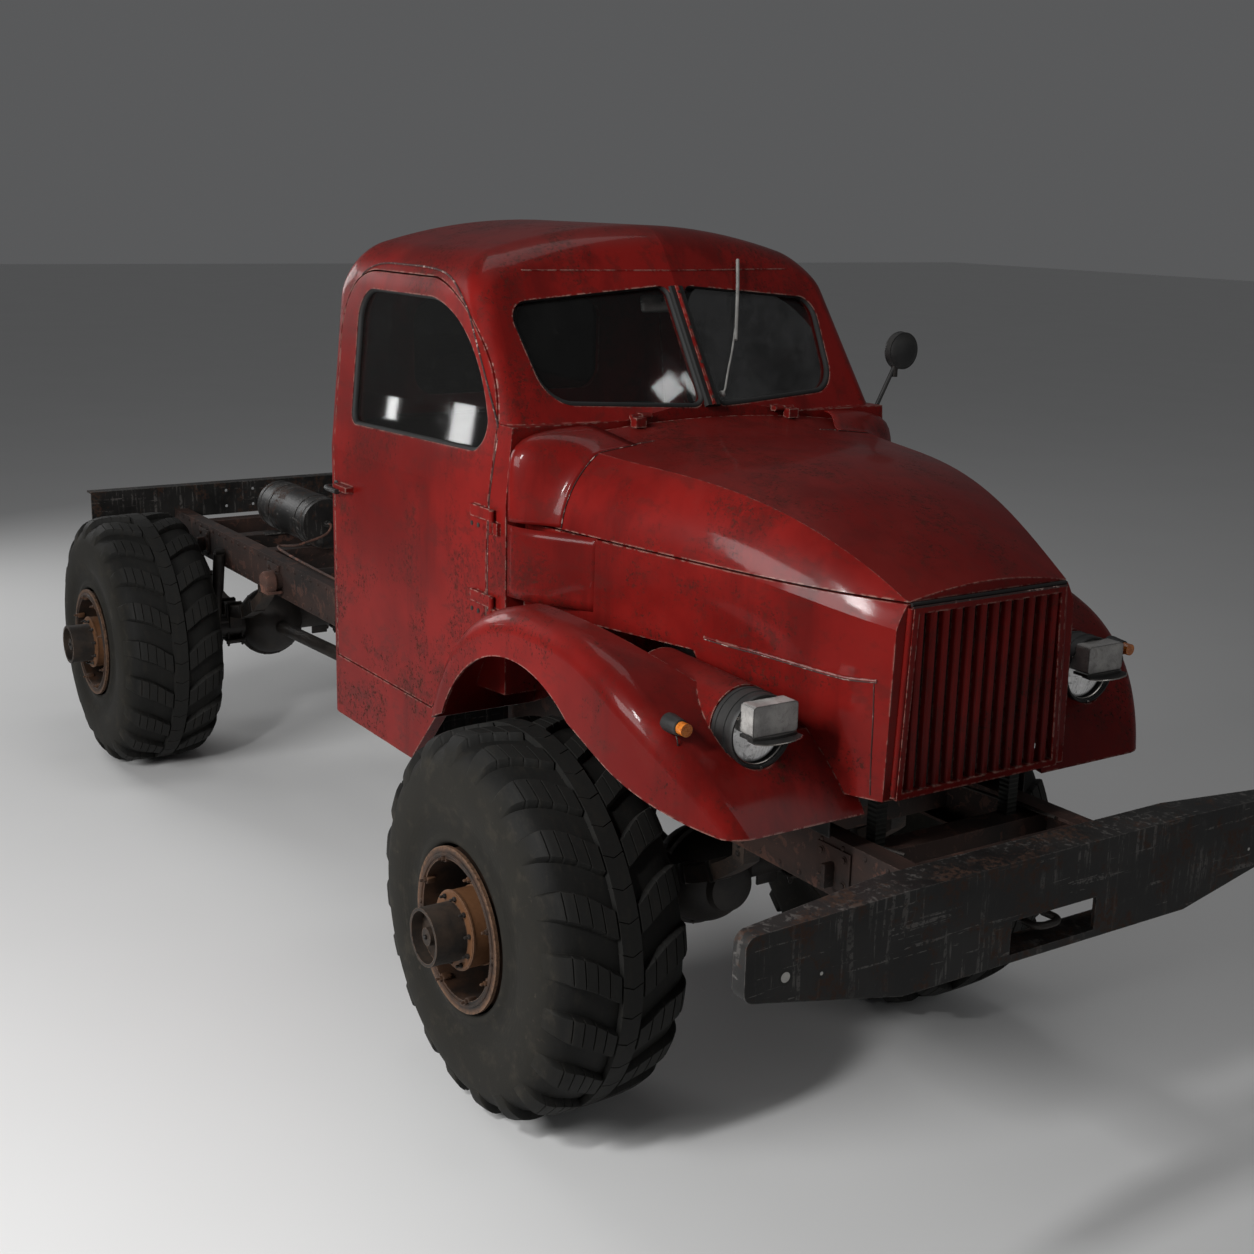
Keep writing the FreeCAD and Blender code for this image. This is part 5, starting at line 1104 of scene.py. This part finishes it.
def make_bumper():
    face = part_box("front_bumper")[1][0]
    skin = Skin("front_bumper")
    for side, out in SIDES:
        line = [Vector((4.0, 0.556 * out, 0.985 + 0.24 * share)) for share in shares(15)]
        rod("bumper_weld_%s" % side, dropped(skin, line, (-1, 0, 0), -0.0036), 0.0034, "black_paint", steps=8)
    bend = ((0.085, -0.045), (0.035, -0.047), (0.016, -0.026), (0.014, 0.0), (0.016, 0.026), (0.035, 0.047),
            (0.085, 0.045))
    hook = smooth_path([(face - back, y, 1.024) for back, y in bend], 6)
    rod("tow_loop", hook, 0.011, "dark_steel", steps=12)


def make_rivets():
    skin = Skin("frame_rail_left")
    for side, out in SIDES:
        heads = []
        plates = []
        for row in (1.030, 1.170):
            for index in range(66):
                x = -3.060 + 0.095 * index
                spot = skin.cast((x, 0.6, row), (0, -1, 0))[0]
                if spot and spot.y > 0.380:
                    place = aim((spot.x, spot.y * out, spot.z), (0, out, 0))
                    heads.append(moved(dome(0.0085, 0.0060), place))
        make("rail_rivets_%s" % side, *join(heads), "brown_frame")
        for x in (-2.62, -1.62, -0.62, 2.70):
            plates += [block((x - 0.075, 0.3845, 1.040), (x + 0.075, 0.3930, 1.165), 0.003),
                       block((x - 0.010, 0.3850, 1.045), (x + 0.010, 0.4300, 1.120), 0.004)]
            plates += [moved(bolt(0.010, 0.008), aim((x + along, 0.3925, z), (0, 1, 0)))
                       for along in (-0.050, 0.050) for z in (1.062, 1.140)]
        make("rail_plates_%s" % side, *mirrored(join(plates), out), "brown_frame")
        bend = ((2.90, 0.300, 1.192), (2.40, 0.330, 1.150), (1.70, 0.306, 1.120), (0.60, 0.306, 1.110),
                (-0.80, 0.306, 1.115), (-2.20, 0.306, 1.110), (-2.44, 0.290, 1.060))
        line = smooth_path([(x, y * out, z) for x, y, z in bend], 8)
        rod("rail_pipe_%s" % side, line, 0.0055, "dark_steel", steps=8)


def spring_height(along):
    return SPRING_TOP - math.sqrt(SPRING_BEND ** 2 - along ** 2)


def make_spring_fittings():
    for end, x in ENDS:
        for side, out in SIDES:
            parts = []
            for along in (-0.40, -0.24, 0.24, 0.40):
                low = spring_height(along)
                slope = math.asin(along / SPRING_BEND)
                clip = block((-0.014, -0.0365, -0.005), (0.014, 0.0365, 0.066), 0.003)
                turn = Matrix.Translation((x + along, SPRING_Y * out, low)) @ Matrix.Rotation(-slope, 4, "Y")
                parts.append(moved(clip, turn))
            for along in (-0.052, 0.052):
                sides = [(SPRING_Y + aside) * out for aside in (-0.039, 0.039)]
                for y in sides:
                    path = [(x + along, y, 0.570), (x + along, y, 0.785)]
                    parts.append(sweep(path, circle(0.0075, 8), up=(1, 0, 0)))
                    parts.append(moved(nut(0.0125, 0.012, 0.0070), aim((x + along, y, 0.572), (0, 0, -1))))
                parts.append(sweep([(x + along, y, 0.785) for y in sides], circle(0.0075, 8)))
            for half, wide, foot, top in ((0.075, 0.052, 0.573, 0.586), (0.068, 0.034, 0.770, 0.779)):
                low = (x - half, SPRING_Y * out - wide, foot)
                parts.append(block(low, (x + half, SPRING_Y * out + wide, top), 0.003))
            parts += [moved(bolt(0.009, 0.007), aim((x + along, 0.3425 * out, z), (0, out, 0)))
                      for along in (-0.530, 0.530) for z in (0.955, 0.985)]
            make("spring_clips_%s_%s" % (end, side), *join(parts), "dark_steel")
            damper = []
            for low, high, radius in (((0.055, 0.700), (0.095, 0.880), 0.026),
                                      ((0.093, 0.870), (0.140, 1.085), 0.031)):
                path = [(x + along, 0.414 * out, z) for along, z in (low, high)]
                damper.append(sweep(path, circle(radius, 20), up=(0, 1, 0)))
            for along, inner, z in ((0.140, 0.380, 1.095), (0.052, 0.350, 0.690)):
                path = [(x + along, y * out, z) for y in (inner, 0.436)]
                damper.append(sweep(path, circle(0.015, 14)))
            make("damper_%s_%s" % (end, side), *join(damper), "dark_steel")


def make_axle_fittings():
    for end, x in ENDS:
        heads = []
        for place in upright_ring(Vector((x, CASE_Y, AXLE_Z)), 0.1825, 14):
            for way in (1, -1):
                heads.append((place + Vector((0.0108 * way, 0, 0)), (way, 0, 0)))
        bolts("%s_axle_bolts" % end, heads, "dark_steel", "chassis", 0.0075, 0.0060)
        away = 1 if end == "front" else -1
        cover = [(along * away, radius) for along, radius in (
            (0.150, 0.092), (0.178, 0.084), (0.188, 0.060), (0.190, 0.0))]
        make("%s_axle_cover" % end, *lathe(cover, 40, (x, CASE_Y, AXLE_Z), "X"), "cast_iron")
        ribs = [block((x - 0.006, y, AXLE_Z - 0.105), (x + 0.006, y + 0.09, AXLE_Z + 0.105), 0.003)
                for y in (-0.335, 0.155)]
        make("%s_axle_ribs" % end, *join(ribs), "cast_iron")


def make_tank_fittings():
    low, high = [Vector(corner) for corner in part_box("air_tank")]
    centre = (low + high) / 2
    centre.x = 0
    radius = (high.z - low.z) / 2
    straps = []
    for x in (low.x + 0.14, high.x - 0.14):
        straps.append(ridge(x, radius, 0.003, 0.018, 0.018, 56, centre, "X"))
        corner = (x + 0.020, radius + 0.020, low.z + 0.006)
        straps.append(block((x - 0.020, -radius - 0.020, low.z - 0.004), corner, 0.002))
    for x in (low.x + 0.030, high.x - 0.038):
        weld = ((x, radius), (x + 0.004, radius + 0.003), (x + 0.008, radius))
        straps.append(lathe(weld, 56, centre, "X"))
    for x, way in ((low.x, -1), (high.x, 1)):
        straps.append(moved(nut(0.020, 0.018, 0.010), aim((x, 0, centre.z), (way, 0, 0))))
    make("tank_straps", *join(straps), "black_paint")
    bend = [(high.x + ahead, y, z) for ahead, y, z in (
        (0.016, 0.0, centre.z), (0.060, 0.0, centre.z), (0.085, -0.05, 1.250), (0.090, -0.20, 1.212),
        (0.100, -0.300, 1.205))]
    pipe = smooth_path(bend + [(-0.90, -0.330, 1.203), (0.10, -0.335, 1.203)], 8)
    rod("tank_pipe", pipe, 0.0065, "pink_rust", steps=8)
    turned = ((0.472, 0.0), (0.472, 0.050), (0.462, 0.056), (0.425, 0.056), (0.415, 0.048))
    boss = [lathe([(along * out, radius) for along, radius in turned], 32, (-1.544, 0, 1.09))
            for out in (-1, 1)]
    boss += [block((-1.590, y, 1.035), (-1.498, y + 0.080, 1.048), 0.003) for y in (-0.470, 0.390)]
    make("tube_bosses", *join(boss), "pink_rust")


def make_arch_aprons():
    """Dark inner sheets of the wheel arches: beside the frame rail, and behind the wheel under the cab."""
    for side, out in SIDES:
        parts = [block((1.300, 0.3900, 1.185), (2.680, 0.3945, 1.338), 0.001, 1)]
        parts += [block((x - 0.010, 0.3935, 1.205), (x + 0.010, 0.3985, 1.325), 0.002)
                  for x in (1.55, 1.80, 2.05, 2.30, 2.55)]
        parts += [block((0.780, 0.3950, 0.945), (0.7845, 0.7530, 1.228), 0.001, 1)]
        parts += [block((0.7835, y - 0.010, 0.965), (0.7885, y + 0.010, 1.205), 0.002)
                  for y in (0.48, 0.57, 0.66)]
        make("arch_apron_%s" % side, *mirrored(join(parts), out), "black_paint")


def eased(share):
    """Falls smoothly from one to nothing."""
    return (1 - share) ** 2 * (1 + 2 * share)


def make_cowl_fairings():
    """Sheets that carry the cab's front corners smoothly onto the bonnet."""
    start, reach = 1.4945, 0.330
    sides, lid, shell = Skin("bonnet_sides"), Skin("hood"), Skin("cab_shell")
    for side, out in SIDES:
        rows = []
        for share in shares(12):
            x = start + reach * share
            row = []
            for z in [1.700 + 0.236 * height for height in shares(8)]:
                base = sides.cast((max(x, 1.50), 1.5 * out, min(z, 1.918)), (0, -out, 0))[0]
                lift = 0.0016 - 0.0030 * share + (0.7965 - abs(base.y)) * eased(share)
                row.append(Vector((x, base.y + out * lift, z)))
            rows.append(row)
        sheet("cowl_side_%s" % side, rows, 0.0012, "plain_red")
        rows = []
        for share in shares(12):
            x = start + 0.006 + 0.165 * share
            row = []
            for height in shares(18):
                turn = math.radians(1.6 + 31 * height ** 1.2)
                way = Vector((0, math.cos(turn) * out, math.sin(turn)))
                centre = Vector((max(x, 1.502), 0, 1.926))
                base = lid.cast(centre + way * 1.5, -way)[0]
                radius = (base - centre).length
                full = ((math.cos(turn) / 0.797) ** 8 + (math.sin(turn) / 0.312) ** 8) ** -0.125
                radius += 0.0025 + max(full - radius, 0.0) * eased(share)
                row.append(centre + way * radius + Vector((x - centre.x, 0, 0)))
            rows.append(row)
        sheet("lid_shoulder_%s" % side, rows, 0.0030, "plain_red", "hood")
        seam = [point + Vector((0.0015, 0, 0)) for point in rows[-1]]
        rod("lid_seam_%s" % side, seam, 0.0016, "chipped_seam", "hood", steps=6)
        edge = smooth_path([(1.3590, 0, 1.620), (1.3610, 0, 1.850), (1.3740, 0, 2.050), (1.3900, 0, 2.200)], 6)
        line = dropped(shell, [Vector((point.x + 0.006, 1.2 * out, point.z)) for point in edge], (0, -out, 0))
        rod("door_edge_%s" % side, line, 0.0024, "chipped_seam", steps=6)


# Cab fittings.

def make_dash_fittings():
    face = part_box("dashboard")[0][0]
    parts, dials, knobs = [], [], []
    for y, z, radius in ((0.360, 2.040, 0.058), (0.225, 2.050, 0.034), (0.495, 2.050, 0.034),
                         (0.135, 2.050, 0.030)):
        rim = ((face + 0.002, radius), (face - 0.010, radius), (face - 0.012, radius - 0.004),
               (face - 0.006, radius - 0.008))
        parts.append(lathe(rim, 40, (0, y, z), "X"))
        dials.append(lathe(((face - 0.004, radius - 0.006), (face - 0.0045, 0.0)), 40, (0, y, z), "X"))
        for index in range(9):
            turn = math.radians(-40 + 27.5 * index)
            mark = block((-0.0005, -0.0008, 0.0), (0.0005, 0.0008, 0.008))
            place = Matrix.Translation((face - 0.0050, y, z)) @ Matrix.Rotation(turn - math.pi / 2, 4, "X")
            knobs.append(moved(mark, place @ Matrix.Translation((0, 0, radius - 0.018))))
        needle = block((-0.0006, -0.0011, -0.008), (0.0006, 0.0011, radius - 0.014))
        knobs.append(moved(needle, Matrix.Translation((face - 0.0060, y, z)) @ Matrix.Rotation(0.9, 4, "X")))
    knob = [(face - back, radius) for back, radius in (
        (0.0, 0.004), (0.014, 0.004), (0.016, 0.009), (0.023, 0.008), (0.024, 0.0))]
    for index in range(5):
        knobs.append(lathe(knob, 16, (0, 0.02 + 0.07 * index, 1.935), "X"))
    make("dial_rims", *join(parts), "pale_metal")
    make("dial_faces", *join(dials), "gauge_face")
    make("dial_needles_knobs", *join(knobs), "black_plastic")
    button = ((face - 0.006, 0.010), (face - 0.016, 0.009), (face - 0.018, 0.0))
    lid = [block((face - 0.006, -0.560, 1.930), (face + 0.004, -0.180, 2.085), 0.006, 3),
           lathe(button, 16, (0, -0.370, 2.055), "X")]
    make("glove_lid", *join(lid), "black_plastic")
    bend = ((0.0, -0.600), (0.035, -0.605), (0.045, -0.640), (0.035, -0.675), (0.0, -0.680))
    grab = smooth_path([(face - back, y, 2.05) for back, y in bend], 5)
    rod("grab_handle", grab, 0.008, "dark_steel")


def ball(place, radius):
    profile = [(-radius * math.cos(turn), radius * math.sin(turn) + 1e-4)
               for turn in [math.pi * share for share in shares(8)]]
    return lathe(profile, 16, place, "Z")


def make_levers():
    boot = ((0.0, 0.055), (0.012, 0.050), (0.030, 0.028), (0.050, 0.020), (0.075, 0.011))
    for name, radius, bend in (
            ("gear_lever", 0.023, ((1.100, 0.0, 1.275), (1.080, 0.005, 1.45), (1.010, 0.012, 1.66),
                                   (0.985, 0.018, 1.86))),
            ("hand_brake", 0.015, ((0.960, 0.110, 1.275), (0.900, 0.112, 1.42), (0.800, 0.114, 1.60))),
            ("transfer_lever", 0.018, ((1.020, -0.075, 1.275), (1.000, -0.078, 1.42), (0.955, -0.082, 1.60)))):
        line = smooth_path(bend, 6)
        stick = sweep(line, circle(0.0075, 10), up=(0, 1, 0))
        make(name, *join((stick, ball(line[-1], radius))), "black_plastic")
        make("%s_boot" % name, *lathe(boot, 24, line[0], "Z"), "seal")
    pads = []
    for y in (0.250, 0.365, 0.480):
        plate = block((-0.006, -0.034, -0.040), (0.006, 0.034, 0.040), 0.004)
        turn = Matrix.Translation((1.150, y, 1.460)) @ Matrix.Rotation(math.radians(-28), 4, "Y")
        arm = smooth_path([(1.160, y, 1.465), (1.260, y, 1.560), (1.340, y, 1.760), (1.380, y, 1.900)], 5)
        pads += [moved(plate, turn), sweep(arm, circle(0.0075, 8), up=(0, 1, 0))]
    make("pedals", *join(pads), "dark_steel")
    centre = Vector((1.016, 0.360, 2.120))
    axis = Vector((-math.sin(math.radians(35)), 0, math.cos(math.radians(35))))
    button = ((0.004, 0.036), (0.012, 0.035), (0.018, 0.028), (0.020, 0.014), (0.0205, 0.0))
    button = moved(lathe(button, 40, axis="Z"), aim(centre, axis))
    make("horn_button", *button, "pale_plastic", "steering_wheel", "black_plastic")


# Bench: two crowned pads on a low base.

def swell(item, cap):
    """Air pressure swells the pad; no point may move further than the cap."""
    start = [vert.co.copy() for vert in item.data.vertices]
    cloth = item.modifiers.new("air", "CLOTH")
    cloth.settings.use_pressure = True
    cloth.settings.uniform_pressure_force = 4.0
    cloth.settings.effector_weights.gravity = 0.0
    cloth.point_cache.frame_end = 20
    for moment in range(1, 21):
        bpy.context.scene.frame_set(moment)
    applied(item)
    bpy.context.scene.frame_set(1)
    for vert, place in zip(item.data.vertices, start):
        away = vert.co - place
        if away.length > cap:
            vert.co = place + away.normalized() * cap


def pad(name, low, high, round_, cap, channels, up):
    """A pad in soft cover: swollen by air, with sewn channels pressed in where the cover is stitched."""
    item = make(name, *block(low, high, round_, 3), "seat_leather", None)
    even = item.modifiers.new("even", "REMESH")
    even.mode = "VOXEL"
    even.voxel_size = 0.011
    applied(item)
    swell(item, cap)
    middle = (Vector(low) + Vector(high)) / 2
    reach = [(high[axis] - low[axis]) / 2 for axis in range(3)]
    for vert in item.data.vertices:
        spot = vert.co
        crown = 1.0
        for axis in range(3):
            if axis != up:
                crown *= max(1.0 - ((spot[axis] - middle[axis]) / (reach[axis] * 1.04)) ** 4, 0.0)
        if spot[up] > middle[up]:
            dip = sum(math.exp(-((spot.y - place) / 0.008) ** 2) for place in channels)
            spot[up] -= 0.007 * dip * crown ** 0.5
    fine = item.modifiers.new("fine", "SUBSURF")
    fine.levels = 1
    applied(item)
    item.data.polygons.foreach_set("use_smooth", [True] * len(item.data.polygons))
    item.data.materials.clear()
    item.data.materials.append(LOOKS["seat_leather"])
    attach(item, "chassis")
    return item


def make_bench():
    channels = [-0.55 + 0.11 * index for index in range(11)]
    cushion = pad("bench_cushion", (0.235, -0.672, 1.560), (0.678, 0.672, 1.662), 0.040, 0.016, channels, 2)
    pad("bench_rest", (0.092, -0.672, 1.700), (0.190, 0.672, 2.120), 0.038, 0.016, channels, 0)
    base = [block((0.215, -0.680, 1.500), (0.690, 0.680, 1.556), 0.006),
            block((0.073, -0.680, 1.500), (0.100, 0.680, 2.100), 0.005)]
    make("bench_base", *join(base), "black_paint", "chassis", "seat_leather")
    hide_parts("bench_seat")
    half = 0.676
    cushion_edge = [(x, y, 1.655) for x, y in ((0.240, -half), (0.684, -half), (0.684, half), (0.240, half))]
    rest_edge = [(0.196, y, z) for y, z in ((-half, 1.705), (half, 1.705), (half, 2.122), (-half, 2.122))]
    for name, corners in (("cushion_piping", cushion_edge), ("rest_piping", rest_edge)):
        line = []
        for index, corner in enumerate(corners):
            after = Vector(corners[(index + 1) % 4])
            line += [Vector(corner).lerp(after, 0.06 + 0.88 * share) for share in shares(8)]
        line = smooth_path(line, 2, closed=True)
        rod(name, line, 0.0045, "seat_leather", closed=True, steps=6)


for step in (make_seals, make_centre_bar, make_mirrors, make_lamps, make_wiper, make_seams, make_nose_trim,
             make_door_trim, make_bumper, make_rivets, make_spring_fittings, make_axle_fittings,
             make_tank_fittings, make_arch_aprons, make_cowl_fairings, make_dash_fittings, make_levers,
             make_bench):
    step()


# Pale floor and soft studio light.

def softbox(name, place, target, size, power):
    data = bpy.data.lights.new(name, "AREA")
    data.shape = "RECTANGLE"
    data.size, data.size_y = size
    data.energy = power
    item = bpy.data.objects.new(name, data)
    way = Vector(target) - Vector(place)
    item.rotation_euler = way.to_track_quat("-Z", "Y").to_euler()
    item.location = place
    bpy.context.scene.collection.objects.link(item)


def glint(name, node, place, reach, size, power):
    """A lamp that stands where the gloss at a place of the picture mirrors it."""
    spot, normal = Skin(node).pin(*place)
    way = sight(*place)
    back = (way - normal * 2 * way.dot(normal)).normalized()
    softbox(name, spot + back * reach, spot, size, power)


def make_studio():
    look = Look("floor_pale")
    cloud = look.noise(0.8, 3, 0.5)
    tint = look.mix(cloud, (0.74, 0.74, 0.735), (0.78, 0.78, 0.775))
    material = look.finish(Base_Color=tint, Roughness=0.75)
    data = bpy.data.meshes.new("floor")
    reach = 60.0
    data.from_pydata([(-reach, -reach, 0), (reach, -reach, 0), (reach, reach, 0), (-reach, reach, 0)], [],
                     [(0, 1, 2, 3)])
    data.materials.append(material)
    item = bpy.data.objects.new("floor", data)
    bpy.context.scene.collection.objects.link(item)
    softbox("key_right", (1.6, -7.0, 4.0), (0.4, 0, 1.4), (3.4, 2.2), 330)
    softbox("box_front", (8.5, 3.0, 4.5), (1.5, 0, 1.4), (2.6, 2.2), 34)
    softbox("box_top", (-0.5, 0.5, 8.0), (0, 0, 0), (4.0, 2.4), 60)
    softbox("box_rear", (-7.5, -2.2, 3.6), (-1.2, 0, 1.0), (2.8, 2.0), 110)
    glint("window_side", "bonnet_sides", (857, 600), 4.6, (0.40, 0.80), 110)
    glint("window_door", "door_glass_right", (462, 424), 4.5, (0.13, 0.24), 0.9)
    glint("window_far", "door_glass_right", (392, 408), 4.5, (0.06, 0.14), 0.28)
    glint("window_screen", "windscreen_glass", (668, 388), 5.5, (0.16, 0.15), 0.9)
    glint("window_screen_far", "windscreen_glass", (690, 384), 5.5, (0.05, 0.16), 0.28)
    world = bpy.data.worlds.new("studio")
    world.use_nodes = True
    sky = world.node_tree.nodes["Background"].inputs
    sky["Color"].default_value = (0.9, 0.91, 0.93, 1)
    sky["Strength"].default_value = 0.11
    bpy.context.scene.world = world
    bpy.context.scene.view_settings.view_transform = "Standard"


make_studio()
